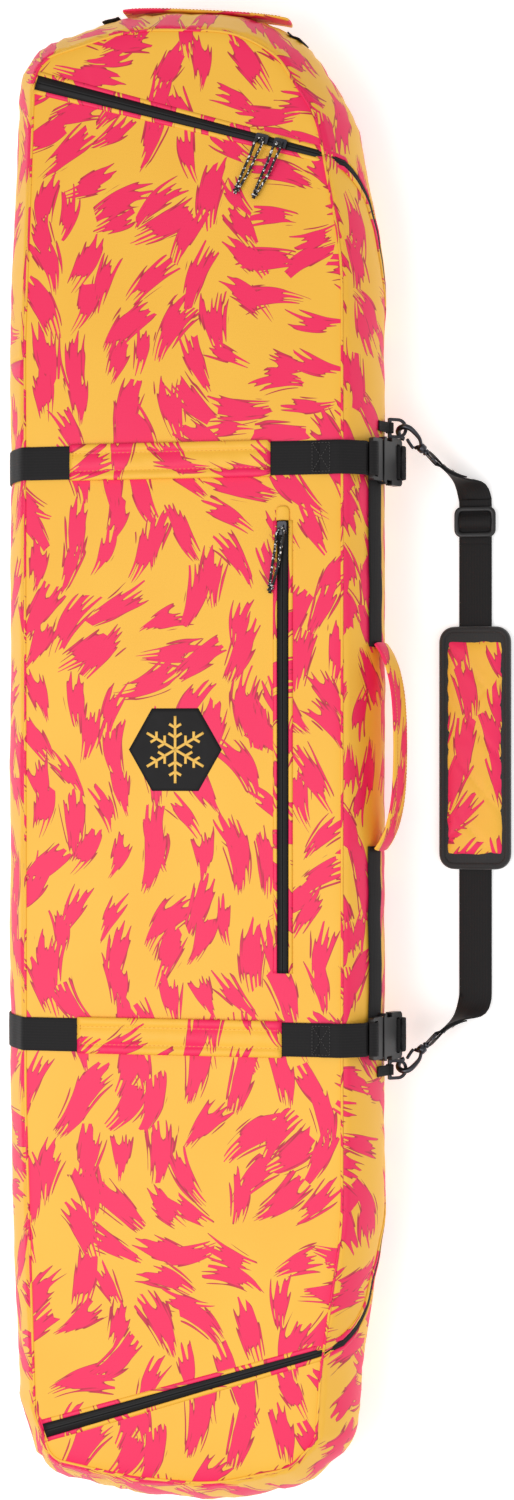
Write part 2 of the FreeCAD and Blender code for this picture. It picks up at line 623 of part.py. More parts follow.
# ---- sliders and their pull cords --------------------------------------------------------
def slider(x, y, angle):
    """A slider body with a low bail on top, along a zipper at an angle in degrees."""
    base = rounded_plate(-SLIDER_W / 2, SLIDER_W / 2, -SLIDER_H / 2, SLIDER_H / 2, 0, SLIDER_T, 2)
    bail = box(-3.5, 3.5, -2, 2, SLIDER_T - 0.1, SLIDER_T + 3.4)
    bail_hole = box(-1.8, 1.8, -3, 3, SLIDER_T + 0.1, SLIDER_T + 1.9)
    form = base.fuse(bail).cut(bail_hole)
    turn = FreeCAD.Rotation(Vector(0, 0, 1), angle)
    corner = Vector(x, y, FRONT_SKIN + TAPE_T + 0.3)
    return placed(form, corner, turn.multVec(Vector(1, 0, 0)), turn.multVec(Vector(0, 1, 0)), Vector(0, 0, 1))


def pull(x, y, toward, length):
    """A cord doubled through the bail, lying down the panel to the knot that joins its ends."""
    ahead = Vector(*toward, 0).normalize()
    across = Vector(-ahead.y, ahead.x, 0)
    lie = DEPTH + TAPE_T + CORD_D / 2 + 0.5
    rests = ((0.13, 4.2, 5.4), (0.30, 3.2, 2.6), (0.50, 3.5, 0.4), (0.70, 2.8, 0.0), (0.88, 1.9, 0.6))
    strands = []
    for side in (-1, 1):
        route = [Vector(x, y, lie + z) + ahead * (length * s) + across * (side * w) for s, w, z in rests]
        strands.append(cord(route, CORD_D))
    end = Vector(x, y, lie + 0.9) + ahead * (length * 0.885)
    knot = Part.makeCylinder(4.0, length * 0.115, end, ahead)
    return group(*strands, knot)


def sliders():
    (x0, y0), (x1, y1) = TOP_DIAGONAL
    angle = math.degrees(math.atan2(y1 - y0, x1 - x0))
    for side, x in SLIDER_X.items():
        y = diagonal_y(TOP_DIAGONAL, x)
        nodes["main_slider_" + side] = slider(x, y, angle)
        nodes["main_pull_" + side] = pull(x, y, MAIN_PULL_WAY, MAIN_PULL)
    y = POCKET_Y[1] - 9
    nodes["pocket_slider"] = slider(POCKET_X, y, 90)
    nodes["pocket_pull"] = pull(POCKET_X, y, POCKET_PULL_WAY, POCKET_PULL)


for make in (shell_panels, lid_panels, main_zipper, front_pocket, cinch_straps, side_handle, grab_handle,
             snap_hooks, shoulder_webbing, tri_glide, shoulder_pad, sliders):
    make()
nodes["d_ring_tabs"] = group(*(ring_tab(y) for y in RING_Y.values()))
for end, y in RING_Y.items():
    nodes["d_ring_" + end] = d_ring(y)

os.makedirs("parts", exist_ok=True)
for name, shape in sorted(nodes.items()):
    solids = shape.Solids
    box_ = shape.BoundBox
    print("%-26s %d %8.1f cm3 %s  %s" % (name, len(solids), shape.Volume / 1000, shape.isValid(),
          [round(v, 1) for v in (box_.XMin, box_.XMax, box_.YMin, box_.YMax, box_.ZMin, box_.ZMax)]))
    shape.exportStep("parts/%s.step" % name)
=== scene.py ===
"""Snowboard bag: its visible pieces and finishes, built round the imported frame."""

import json
import logging
import math
from collections.abc import Callable, Sequence
from dataclasses import dataclass, field
from enum import Enum

import bmesh
import bpy
from mathutils import Matrix, Vector, noise

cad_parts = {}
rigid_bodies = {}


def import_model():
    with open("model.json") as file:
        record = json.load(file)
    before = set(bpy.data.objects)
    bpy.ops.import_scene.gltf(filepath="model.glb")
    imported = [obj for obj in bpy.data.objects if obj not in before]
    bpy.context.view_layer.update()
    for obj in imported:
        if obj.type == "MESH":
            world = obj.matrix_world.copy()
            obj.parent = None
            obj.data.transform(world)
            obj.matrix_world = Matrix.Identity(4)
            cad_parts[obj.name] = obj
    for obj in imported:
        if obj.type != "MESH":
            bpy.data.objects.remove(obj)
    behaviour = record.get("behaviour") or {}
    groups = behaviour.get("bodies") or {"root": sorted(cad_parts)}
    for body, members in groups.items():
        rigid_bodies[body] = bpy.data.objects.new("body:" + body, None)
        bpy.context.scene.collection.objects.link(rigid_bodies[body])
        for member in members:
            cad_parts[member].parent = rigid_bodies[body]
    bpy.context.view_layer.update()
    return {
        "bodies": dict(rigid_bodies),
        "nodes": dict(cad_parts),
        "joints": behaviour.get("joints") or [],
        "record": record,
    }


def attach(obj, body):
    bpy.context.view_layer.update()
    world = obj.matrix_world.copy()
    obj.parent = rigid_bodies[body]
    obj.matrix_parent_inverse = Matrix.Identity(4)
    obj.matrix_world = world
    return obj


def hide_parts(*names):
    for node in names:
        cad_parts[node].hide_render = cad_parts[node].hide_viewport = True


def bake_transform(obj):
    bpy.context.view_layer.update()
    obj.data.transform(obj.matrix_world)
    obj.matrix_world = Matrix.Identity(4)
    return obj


LOG = logging.getLogger("snowboard_bag")
MM = 0.001
UP = Vector((0, 0, 1)).freeze()
UV_NAME = "fabric"

Pair = tuple[float, float]
Profile = Sequence[Pair]


# ---- colours and nodes -------------------------------------------------------------------
def linear(code: str) -> tuple[float, float, float, float]:
    """Turn an sRGB hex colour to the linear colour a shader takes.

    Args:
        code: the colour as "#RRGGBB".

    Returns:
        Linear red, green and blue, and an alpha of 1.
    """
    parts = [int(code[i:i + 2], 16) / 255 for i in (1, 3, 5)]
    r, g, b = (c / 12.92 if c <= 0.04045 else ((c + 0.055) / 1.055) ** 2.4 for c in parts)
    return r, g, b, 1.0


def add(tree: bpy.types.NodeTree, kind: str, links: dict | None = None, **settings: object) -> bpy.types.Node:
    """Add a node with its settings and links.

    Args:
        tree: the node tree that gets it.
        kind: the node's type, without the ShaderNode in front of it.
        links: the node's input names or numbers with the output sockets that feed them.
        settings: node attributes, or input values when no attribute has that name. A name
            such as in_2 is the input of that number.

    Returns:
        The new node.
    """
    prefix = "" if kind.startswith("NodeGroup") else "ShaderNode"
    node = tree.nodes.new(prefix + kind)
    for name, value in settings.items():
        if name.startswith("in_"):
            node.inputs[int(name[3:])].default_value = value
        elif hasattr(node, name):
            setattr(node, name, value)
        else:
            node.inputs[name.replace("_", " ")].default_value = value
    for name, socket in (links or {}).items():
        tree.links.new(socket, node.inputs[name])
    return node


class Slot(Enum):
    """The record's material slots."""

    PRINT = "printed_polyester"
    WEBBING = "black_webbing"
    ZIPPER = "zipper_tape"
    PLASTIC = "black_acetal"
    METAL = "dark_metal"
    CORD = "speckled_cord"
    FOAM = "foam"
    LINING = "lining"
    INK = "black_print"


@dataclass(frozen=True)
class Finish:
    """One real material, from its surface values to its procedural pattern."""

    name: str
    slot: Slot
    colour: str
    roughness: float
    ior: float = 1.5
    metallic: float = 0.0
    sheen: float = 0.0
    bump_mm: float = 0.1

    def material(self) -> bpy.types.Material:
        """Return the Blender material, made the first time it is asked for.

        Returns:
            The material.
        """
        made = bpy.data.materials.get(self.name)
        if made is None:
            made = bpy.data.materials.new(self.name)
            made.use_nodes = True
            tree = made.node_tree
            shader = tree.nodes["Principled BSDF"]
            shader.inputs["Base Color"].default_value = linear(self.colour)
            shader.inputs["Roughness"].default_value = self.roughness
            shader.inputs["Metallic"].default_value = self.metallic
            if self.metallic < 0.5:
                shader.inputs["IOR"].default_value = self.ior
            shader.inputs["Sheen Weight"].default_value = self.sheen
            shader.inputs["Sheen Roughness"].default_value = 0.5
            self.pattern(tree, shader)
        return made

    def pattern(self, tree: bpy.types.NodeTree, shader: bpy.types.Node) -> None:
        """Add the colour and surface pattern; each kind of finish has its own."""
        raise NotImplementedError

    def raise_surface(self, tree: bpy.types.NodeTree, shader: bpy.types.Node,
                      height: bpy.types.NodeSocket) -> None:
        """Feed a height from 0 to 1 to the shader's normal as bump_mm of relief."""
        bump = add(tree, "Bump", {"Height": height}, Distance=self.bump_mm * MM, Strength=1.0)
        tree.links.new(bump.outputs["Normal"], shader.inputs["Normal"])


@dataclass(frozen=True)
class PrintedPolyester(Finish):
    """Tight-woven coated polyester with a printed pattern of fur-like strokes."""

    stroke: str = "#F5205C"
    outline: str = "#A82436"
    cell_mm: float = 48.0
    thread_mm: float = 1.6       # real threads are 0.4 mm apart, too fine to show, so drawn coarser
    flow_mm: float = 230.0       # how far apart the strokes change their common direction
    flow_turn: float = 4.6       # radians between the noise's two extremes
    own_turn: float = 0.6        # and how much of its own each stroke turns
    bend: float = 0.011          # curl across per mm of length squared
    length_mm: Pair = (18.0, 18.0)        # least half length, and how much more
    width_mm: tuple[float, float, float] = (8.2, 4.5, 3.5)    # least half width, and two chances of more
    hair: float = 0.33           # hairs per mm across a stroke's ends
    hair_run: float = 0.07       # and how slowly they change along it
    end_reach: float = 1.7       # how ragged the ends are
    side_reach: float = 0.85     # and the flanks

    def stroke_group(self) -> bpy.types.NodeTree:
        """Return the node group that draws one stroke round its own centre.

        Returns:
            The group, which takes a place, a centre and three chances, and gives how deep in the
            stroke the place is.
        """
        tree = bpy.data.node_groups.get("fur_stroke")
        if tree is not None:
            return tree
        tree = bpy.data.node_groups.new("fur_stroke", "ShaderNodeTree")
        for name in ("Place", "Centre", "Chance"):
            tree.interface.new_socket(name=name, in_out="INPUT", socket_type="NodeSocketVector")
        tree.interface.new_socket(name="Fill", in_out="OUTPUT", socket_type="NodeSocketFloat")
        ins = add(tree, "NodeGroupInput").outputs
        chance = add(tree, "SeparateXYZ", {0: ins["Chance"]}).outputs
        away = add(tree, "VectorMath", {0: ins["Place"], 1: ins["Centre"]}, operation="SUBTRACT").outputs[0]
        flow = add(tree, "TexNoise", {"Vector": ins["Centre"]}, noise_dimensions="2D",
                   Scale=1 / self.flow_mm, Detail=0.0).outputs[0]

        def calc(kind: str, first: object, second: object = 0.0, third: object = 0.0) -> bpy.types.NodeSocket:
            """Return the output of one sum; each term is a number or a socket.

            Args:
                kind: the sum's operation.
                first: its first term.
                second: its second.
                third: its third.

            Returns:
                The socket that holds the result.
            """
            node = add(tree, "Math", operation=kind)
            for place, term in zip(node.inputs, (first, second, third)):
                if isinstance(term, bpy.types.NodeSocket):
                    tree.links.new(term, place)
                else:
                    place.default_value = term
            return node.outputs[0]

        turn = calc("MULTIPLY_ADD", flow, self.flow_turn, -self.flow_turn / 2)
        turn = calc("ADD", turn, calc("MULTIPLY_ADD", chance[0], self.own_turn, -self.own_turn / 2))
        local = add(tree, "VectorRotate", {"Vector": away, "Angle": turn}, rotation_type="Z_AXIS").outputs[0]
        across, along, _ = add(tree, "SeparateXYZ", {0: local}).outputs
        bend = calc("MULTIPLY_ADD", chance[1], self.bend, -self.bend / 2)
        across = calc("MULTIPLY_ADD", calc("MULTIPLY", along, along), bend, across)
        half_length = calc("MULTIPLY_ADD", chance[2], self.length_mm[1], self.length_mm[0])
        least, more, most = self.width_mm
        half_width = calc("MULTIPLY_ADD", chance[2], most, calc("MULTIPLY_ADD", chance[0], more, least))
        far = calc("DIVIDE", along, half_length)
        flare = calc("MAXIMUM", calc("MULTIPLY_ADD", far, 0.3, 1.0), 0.35)
        wide = calc("DIVIDE", across, calc("MULTIPLY", half_width, flare))
        span = calc("SQRT", calc("ADD", calc("MULTIPLY", far, far), calc("MULTIPLY", wide, wide)))
        strand = calc("MULTIPLY_ADD", chance[0], 97.0, calc("DIVIDE", across, flare))
        lane = add(tree, "CombineXYZ", {0: strand, 1: calc("MULTIPLY", along, self.hair_run)}).outputs[0]
        hair = add(tree, "TexNoise", {"Vector": lane}, noise_dimensions="2D", Scale=self.hair,
                   Detail=0.0).outputs[0]
        at_end = calc("DIVIDE", calc("ABSOLUTE", far), calc("MAXIMUM", span, 0.05))
        reach = calc("MULTIPLY_ADD", calc("MULTIPLY", at_end, at_end), self.end_reach, self.side_reach)
        rim = add(tree, "MapRange", {"Value": span}, in_1=0.2, in_2=0.8).outputs[0]
        ragged = calc("MULTIPLY", calc("MULTIPLY_ADD", hair, 1.0, -0.5), calc("MULTIPLY", reach, rim))
        fill = calc("ADD", calc("SUBTRACT", 1.0, span), ragged)
        add(tree, "NodeGroupOutput", {"Fill": fill})
        return tree

    def pattern(self, tree: bpy.types.NodeTree, shader: bpy.types.Node) -> None:
        """Scatter the strokes in cells, take each spot's two nearest, and colour them.

        Args:
            tree: the node tree.
            shader: the material's Principled shader.
        """
        uv = add(tree, "UVMap", uv_map=UV_NAME).outputs[0]
        place = add(tree, "VectorMath", {0: uv}, operation="SCALE", Scale=1000.0).outputs[0]
        cells = add(tree, "VectorMath", {0: place}, operation="SCALE", Scale=1 / self.cell_mm).outputs[0]
        fills = []
        for feature in ("F1", "F2"):
            cell = add(tree, "TexVoronoi", {"Vector": cells}, voronoi_dimensions="2D", feature=feature,
                       Scale=1.0, Randomness=0.8)
            centre = add(tree, "VectorMath", {0: cell.outputs["Position"]}, operation="SCALE",
                         Scale=self.cell_mm).outputs[0]
            stroke = add(tree, "Group", {}, node_tree=self.stroke_group())
            for name, socket in (("Place", place), ("Centre", centre), ("Chance", cell.outputs["Color"])):
                tree.links.new(socket, stroke.inputs[name])
            fills.append(stroke.outputs["Fill"])
        fill = add(tree, "Math", {0: fills[0], 1: fills[1]}, operation="MAXIMUM").outputs[0]
        inside = add(tree, "MapRange", {"Value": fill}, in_1=0.0, in_2=0.03).outputs[0]
        core = add(tree, "MapRange", {"Value": fill}, in_1=0.03, in_2=0.24).outputs[0]
        ink = add(tree, "Mix", {"Factor": core}, data_type="RGBA", in_6=linear(self.outline),
                  in_7=linear(self.stroke)).outputs[2]
        tone = add(tree, "TexNoise", {"Vector": place}, Scale=1 / 160, Detail=2.0).outputs[0]
        ground = add(tree, "Mix", {"Factor": tone}, data_type="RGBA", in_6=linear("#F3B335"),
                     in_7=linear(self.colour)).outputs[2]
        colour = add(tree, "Mix", {"Factor": inside, 6: ground, 7: ink}, data_type="RGBA").outputs[2]
        tree.links.new(colour, shader.inputs["Base Color"])
        waves = [add(tree, "TexWave", {"Vector": place}, bands_direction=way, Scale=0.314 / self.thread_mm,
                     Distortion=0.3).outputs[1] for way in ("X", "Y")]
        weave = add(tree, "Math", {0: waves[0], 1: waves[1]}, operation="MULTIPLY").outputs[0]
        self.raise_surface(tree, shader, weave)


@dataclass(frozen=True)
class RibbedTextile(Finish):
    """Woven tape or webbing, with crosswise ribs and lines along it."""

    rib_mm: float = 2.2
    line_mm: float = 4.6
    # painted shade: the dark colour the weave's hollows are mixed towards, standing in for the shadow in them
    painted_hollow_shade: str = "#0D0C0D"

    def pattern(self, tree: bpy.types.NodeTree, shader: bpy.types.Node) -> None:
        """Ribs across and lines along, the hollows darker than the crowns in painted shade, some fibres darker
        at random.

        Args:
            tree: the node tree.
            shader: the material's Principled shader.
        """
        uv = add(tree, "UVMap", uv_map=UV_NAME).outputs[0]
        place = add(tree, "VectorMath", {0: uv}, operation="SCALE", Scale=1000.0).outputs[0]
        ribs, lines = (add(tree, "TexWave", {"Vector": place}, bands_direction=way, Scale=0.314 / size,
                           Distortion=0.25).outputs[1]
                       for way, size in (("X", self.rib_mm), ("Y", self.line_mm)))
        weave = add(tree, "Math", {0: ribs, 1: lines}, operation="MULTIPLY_ADD", in_2=0.2).outputs[0]
        fibre = add(tree, "TexNoise", {"Vector": place}, Scale=0.9, Detail=3.0).outputs[0]
        hollow_shade_and_fibre_mask = add(tree, "Math", {0: weave, 1: fibre}, operation="MULTIPLY").outputs[0]
        # painted shade in the weave's hollows, plus random darker fibres from the noise
        colour = add(tree, "Mix", {"Factor": hollow_shade_and_fibre_mask}, data_type="RGBA", in_6=linear(self.painted_hollow_shade),
                     in_7=linear(self.colour)).outputs[2]
        tree.links.new(colour, shader.inputs["Base Color"])
        self.raise_surface(tree, shader, weave)


@dataclass(frozen=True)
class Grained(Finish):
    """Moulded, cast or printed surface with a fine grain and slightly uneven gloss."""

    grain_mm: float = 0.8
    worn: str = "#3A3A3C"

    def pattern(self, tree: bpy.types.NodeTree, shader: bpy.types.Node) -> None:
        """Fine grain in the relief, and a slow change of tone and gloss.

        Args:
            tree: the node tree.
            shader: the material's Principled shader.
        """
        place = add(tree, "TexCoord").outputs["Object"]
        grain = add(tree, "TexNoise", {"Vector": place}, Scale=1000 / self.grain_mm, Detail=2.0).outputs[0]
        slow = add(tree, "TexNoise", {"Vector": place}, Scale=60.0, Detail=3.0).outputs[0]
        share = add(tree, "MapRange", {"Value": slow}, in_1=0.45, in_2=0.9, in_4=0.6).outputs[0]
        colour = add(tree, "Mix", {"Factor": share}, data_type="RGBA", in_6=linear(self.colour),
                     in_7=linear(self.worn)).outputs[2]
        gloss = add(tree, "MapRange", {"Value": slow}, in_3=self.roughness - 0.06,
                    in_4=self.roughness + 0.08).outputs[0]
        tree.links.new(colour, shader.inputs["Base Color"])
        tree.links.new(gloss, shader.inputs["Roughness"])
        self.raise_surface(tree, shader, grain)


@dataclass(frozen=True)
class SpeckledCord(Finish):
    """Braided cord whose black cover has white marker threads."""

    fleck: str = "#F2F0EC"
    strand_mm: float = 1.5

    def pattern(self, tree: bpy.types.NodeTree, shader: bpy.types.Node) -> None:
        """Small strand cells, one in seven of them white.

        Args:
            tree: the node tree.
            shader: the material's Principled shader.
        """
        place = add(tree, "TexCoord").outputs["Object"]
        cell = add(tree, "TexVoronoi", {"Vector": place}, Scale=1000 / self.strand_mm, Randomness=0.7)
        chance = add(tree, "SeparateXYZ", {0: cell.outputs["Color"]}).outputs[0]
        white = add(tree, "MapRange", {"Value": chance}, in_1=0.84, in_2=0.88).outputs[0]
        colour = add(tree, "Mix", {"Factor": white}, data_type="RGBA", in_6=linear(self.colour),
                     in_7=linear(self.fleck)).outputs[2]
        tree.links.new(colour, shader.inputs["Base Color"])
        self.raise_surface(tree, shader, cell.outputs["Distance"])


# Coated polyester takes bright dye and has a soft satin glow where it curves.
PRINT = PrintedPolyester("printed_coated_polyester", Slot.PRINT, "#FAC242", 0.5, 1.45, bump_mm=0.03)
# Polypropylene webbing looks dull black, with ribs that catch small lights.
WEBBING = RibbedTextile("woven_polypropylene_webbing", Slot.WEBBING, "#221F20", 0.75, 1.4, sheen=0.02,
                        bump_mm=0.12, rib_mm=1.5, line_mm=3.2)
# Zipper tape is a smoother, denser weave than webbing, under a thin water-shedding film.
ZIP_TAPE = RibbedTextile("film_coated_zipper_tape", Slot.ZIPPER, "#1A1819", 0.6, 1.4, bump_mm=0.08,
                         rib_mm=1.6, line_mm=3.0)
# Bias tape and lining are plain woven polyester with a faint rib.
BINDING = RibbedTextile("woven_polyester_binding", Slot.WEBBING, "#312F30", 0.66, 1.5, sheen=0.2,
                        bump_mm=0.12, rib_mm=1.8, line_mm=1.8)
LINING = RibbedTextile("woven_polyester_lining", Slot.LINING, "#3C3D40", 0.62, 1.5, sheen=0.15, bump_mm=0.06,
                       rib_mm=1.5, line_mm=1.5)
FOAM = RibbedTextile("quilted_foam_cover", Slot.FOAM, "#4A4B4E", 0.75, 1.5, sheen=0.2, bump_mm=0.15,
                     rib_mm=2.0, line_mm=2.0)
# Acetal buckles are moulded with a fine spark-eroded grain that gives a satin black.
ACETAL = Grained("moulded_acetal", Slot.PLASTIC, "#1B1A1B", 0.36, 1.48, bump_mm=0.02, worn="#2B2A2B")
# The hooks are cast zinc with a dark electroplated coat.
METAL = Grained("plated_cast_zinc", Slot.METAL, "#4B4B50", 0.3, metallic=1.0, bump_mm=0.012, worn="#5D5D63")
# Screen-printed plastisol ink sits on the cloth as a dull, slightly raised film.
INK = Grained("screen_printed_ink", Slot.INK, "#121011", 0.7, 1.4, bump_mm=0.05, worn="#191718")
PALE_INK = Grained("pale_screen_printed_ink", Slot.INK, "#F6C35A", 0.6, 1.5, bump_mm=0.05, worn="#F2B94B")
# Bonded polyester thread, a little shinier than the cloth it sews.
THREAD = Grained("gold_polyester_thread", Slot.PRINT, "#E9A233", 0.5, 1.5, bump_mm=0.03, worn="#C9822A")
DARK_THREAD = Grained("black_polyester_thread", Slot.WEBBING, "#4A4747", 0.55, 1.5, bump_mm=0.03,
                      worn="#383535")
# The pulls are braided accessory cord with white marker threads.
CORD = SpeckledCord("braided_accessory_cord", Slot.CORD, "#161516", 0.6, 1.5, bump_mm=0.25)


# ---- meshes ------------------------------------------------------------------------------
@dataclass(frozen=True)
class Spot:
    """A point on a surface with the direction out of it, in millimetres."""

    at: Vector
    out: Vector


def smooth_spots(spots: Sequence[Spot], step: float) -> list[Spot]:
    """Return spots on a smooth line through the given ones, about step apart.

    Args:
        spots: the line's own spots, in order.
        step: the distance between the new ones in mm.

    Returns:
        New spots; the first and last are the given ones.
    """
    made = []
    for i in range(len(spots) - 1):
        a, b = spots[i], spots[i + 1]
        before, after = spots[max(i - 1, 0)], spots[min(i + 2, len(spots) - 1)]
        count = max(1, round((b.at - a.at).length / step))
        for k in range(count):
            t = k / count
            w = (-t + 2 * t * t - t ** 3, 2 - 5 * t * t + 3 * t ** 3, t + 4 * t * t - 3 * t ** 3,
                 t ** 3 - t * t)
            at = sum((p.at * (share / 2) for p, share in zip((before, a, b, after), w)), Vector())
            made.append(Spot(at, a.out.lerp(b.out, t).normalized()))
    return made + [spots[-1]]


def rounded_profile(width: float, thick: float, crown: float = 0.0, cup: float = 0.0,
                    count: int = 6) -> list[Pair]:
    """Return the closed section of a flat band that lies on a surface.

    Args:
        width: across the band in mm.
        thick: its thickness at the edges.
        crown: how much thicker it is at its middle.
        cup: how far its middle stands above its edges.
        count: spans across.

    Returns:
        Pairs of distance across and height, anticlockwise.
    """
    half, edge = width / 2, min(thick * 0.35, width * 0.2)
    shares = [-1 + 2 * k / count for k in range(count + 1)]
    top = [(s * (half - edge), thick + (crown + cup) * (1 - s * s)) for s in shares]
    low = [(s * (half - edge), cup * (1 - s * s)) for s in shares]
    right = [(half, thick * 0.3), (half, thick * 0.7)]
    left = [(-half, thick * 0.7), (-half, thick * 0.3)]
    return low + right + top[::-1] + left


def round_profile(radius: float, lift: float = 0.0, count: int = 8) -> list[Pair]:
    """Return a circle's section, its middle lift above the surface."""
    turns = [2 * math.pi * k / count for k in range(count)]
    return [(radius * math.cos(t), lift + radius * math.sin(t)) for t in turns]


class Maker:
    """Turns rows of points into finished Blender objects."""

    @staticmethod
    def build(name: str, points: Sequence[Vector], faces: Sequence[Sequence[int]],
              uvs: Sequence[Pair] | None, finish: Finish, smooth: bool = True) -> bpy.types.Object:
        """Make one mesh object.

        Args:
            name: the piece's name.
            points: its vertices in mm.
            faces: vertex numbers of each face.
            uvs: each vertex's place on the cloth in mm, or None.
            finish: the material it gets.
            smooth: whether its faces are shaded smooth.

        Returns:
            The object, linked to the scene.
        """
        mesh = bpy.data.meshes.new(name)
        mesh.from_pydata([p * MM for p in points], [], faces)
        if uvs is not None:
            layer = mesh.uv_layers.new(name=UV_NAME)
            for loop in mesh.loops:
                u, v = uvs[loop.vertex_index]
                layer.data[loop.index].uv = (u * MM, v * MM)
        mesh.polygons.foreach_set("use_smooth", [smooth] * len(mesh.polygons))
        mesh.materials.append(finish.material())
        obj = bpy.data.objects.new(name, mesh)
        bpy.context.collection.objects.link(obj)
        return obj

    @staticmethod
    def cloth(name: str, rows: Sequence[Sequence[Vector]], uvs: Sequence[Sequence[Pair]], out: Vector,
              thick: float, finish: Finish = PRINT, lining: Finish | None = LINING,
              closed: bool = False) -> bpy.types.Object:
        """Make a panel of cloth from a grid, thickened on its inner side.

        Args:
            name: the piece's name.
            rows: equal rows of points in mm.
            uvs: each point's place on the cloth in mm.
            out: the direction the middle of the grid faces.
            thick: the padded cloth's thickness in mm.
            finish: the outer material.
            lining: the material of its inner side, or None for the same.
            closed: whether each row joins up with its own start; its last point repeats the first.

        Returns:
            The panel.
        """
        wide = len(rows[0])
        points = [p for row in rows for p in row]
        flat = [uv for row in uvs for uv in row]
        faces = [(r * wide + c, r * wide + c + 1, (r + 1) * wide + c + 1, (r + 1) * wide + c)
                 for r in range(len(rows) - 1) for c in range(wide - 1)]
        r, c = len(rows) // 2, wide // 2
        normal = (rows[r][c] - rows[r - 1][c]).cross(rows[r][c] - rows[r][c - 1])
        if normal.dot(out) > 0:
            faces = [face[::-1] for face in faces]
        obj = Maker.build(name, points, faces, flat, finish)
        if closed:
            work = bmesh.new()
            work.from_mesh(obj.data)
            bmesh.ops.remove_doubles(work, verts=work.verts, dist=1e-6)
            work.to_mesh(obj.data)
            work.free()
        shell = obj.modifiers.new("thickness", "SOLIDIFY")
        shell.thickness, shell.offset = thick * MM, -1.0
        if lining is not None:
            obj.data.materials.append(lining.material())
            shell.material_offset = 1
        return obj

    @staticmethod
    def sweep(name: str, track: Sequence[Spot], section: Callable[[float], Profile] | Profile, finish: Finish,
              swap: bool = False, start: Pair = (0.0, 0.0), subdivide: int = 0,
              loop: bool = False) -> bpy.types.Object:
        """Make a closed band, roll or strap by moving a section along a track.

        Args:
            name: the piece's name.
            track: spots along the middle of its underside.
            section: the closed section, or a function that gives it at a share of the way along.
            finish: its material.
            swap: whether the cloth's second direction runs along the track.
            start: where on the cloth it begins, in mm.
            subdivide: levels of subdivision.
            loop: whether the track's end joins its start.

        Returns:
            The band.
        """
        points, uvs, run = [], [], 0.0
        count, spans = 0, len(track)
        for i, spot in enumerate(track):
            after = track[(i + 1) % spans] if loop else track[min(i + 1, spans - 1)]
            before = track[i - 1] if loop else track[max(i - 1, 0)]
            ahead = (after.at - before.at).normalized()
            out = (spot.out - ahead * spot.out.dot(ahead)).normalized()
            across = out.cross(ahead)
            ring = section(i / (spans - 1)) if callable(section) else section
            run += (spot.at - track[i - 1].at).length if i else 0.0
            count = len(ring)
            for a, b in ring:
                points.append(spot.at + across * a + out * b)
                uv = (start[0] + run, start[1] + a + b * 0.5)
                uvs.append((uv[1], uv[0]) if swap else uv)
        faces = [(i * count + k, i * count + (k + 1) % count, (i + 1) % spans * count + (k + 1) % count,
                  (i + 1) % spans * count + k)
                 for i in range(spans if loop else spans - 1) for k in range(count)]
        if not loop:
            last = (spans - 1) * count
            faces += [tuple(range(count))[::-1], tuple(last + k for k in range(count))]
        obj = Maker.build(name, points, faces, uvs, finish)
        work = bmesh.new()
        work.from_mesh(obj.data)
        bmesh.ops.recalc_face_normals(work, faces=work.faces)
        work.to_mesh(obj.data)
        work.free()
        if subdivide:
            levels = obj.modifiers.new("smooth", "SUBSURF")
            levels.levels = levels.render_levels = subdivide
        return obj

    @staticmethod
    def pillow(name: str, box: tuple[float, float, float, float], corner: float,
               top: Callable[[float, float], float], low: Callable[[float, float], float], finish: Finish,
               step: float = 6.0) -> bpy.types.Object:
        """Make a closed pad with a rounded rectangular outline, flat on or above the ground plane.

        Args:
            name: the piece's name.
            box: its lowest x, highest x, lowest y and highest y in mm.
            corner: the radius of its outline's corners.
            top: the height of its upper face at x, y.
            low: the height of its lower face at x, y.
            finish: its material.
            step: the grid's spacing in mm.

        Returns:
            The pad.
        """
        x0, x1, y0, y1 = box
        middle = (x0 + x1) / 2
        ends = [0.0, 0.1, 0.25, 0.45, 0.7, 1.0]
        count = max(2, round((y1 - y0 - 2 * corner) / step))
        ys = ([y0 + corner * e for e in ends] + [y0 + corner + (y1 - y0 - 2 * corner) * k / count
              for k in range(1, count)] + [y1 - corner * e for e in ends[::-1]])
        across = max(4, round((x1 - x0) / step))
        rims = [0.0, 0.35 / across, 1 / across]
        shares = rims + [k / across for k in range(2, across - 1)] + [1 - r for r in rims[::-1]]
        points, uvs = [], []
        for height in (top, low):
            for y in ys:
                off = max(0.0, corner - min(y - y0, y1 - y))
                half = (x1 - x0) / 2 - corner + math.sqrt(max(0.0, corner * corner - off * off))
                for share in shares:
                    x = middle + half * (2 * share - 1)
                    points.append(Vector((x, y, height(x, y))))
                    uvs.append((x, y))
        wide, size = len(shares), len(shares) * len(ys)
        faces = []
        for r in range(len(ys) - 1):
            for c in range(wide - 1):
                a = r * wide + c
                faces += [(a, a + 1, a + wide + 1, a + wide),
                          (size + a + wide, size + a + wide + 1, size + a + 1, size + a)]
        tall = len(ys)
        rim = ([(0, c) for c in range(wide)] + [(r, wide - 1) for r in range(1, tall)]
               + [(tall - 1, c) for c in range(wide - 2, -1, -1)] + [(r, 0) for r in range(tall - 2, 0, -1)])
        for i, (r, c) in enumerate(rim):
            nr, nc = rim[(i + 1) % len(rim)]
            a, b = r * wide + c, nr * wide + nc
            faces.append((b, a, size + a, size + b))
        return Maker.build(name, points, faces, uvs, finish)

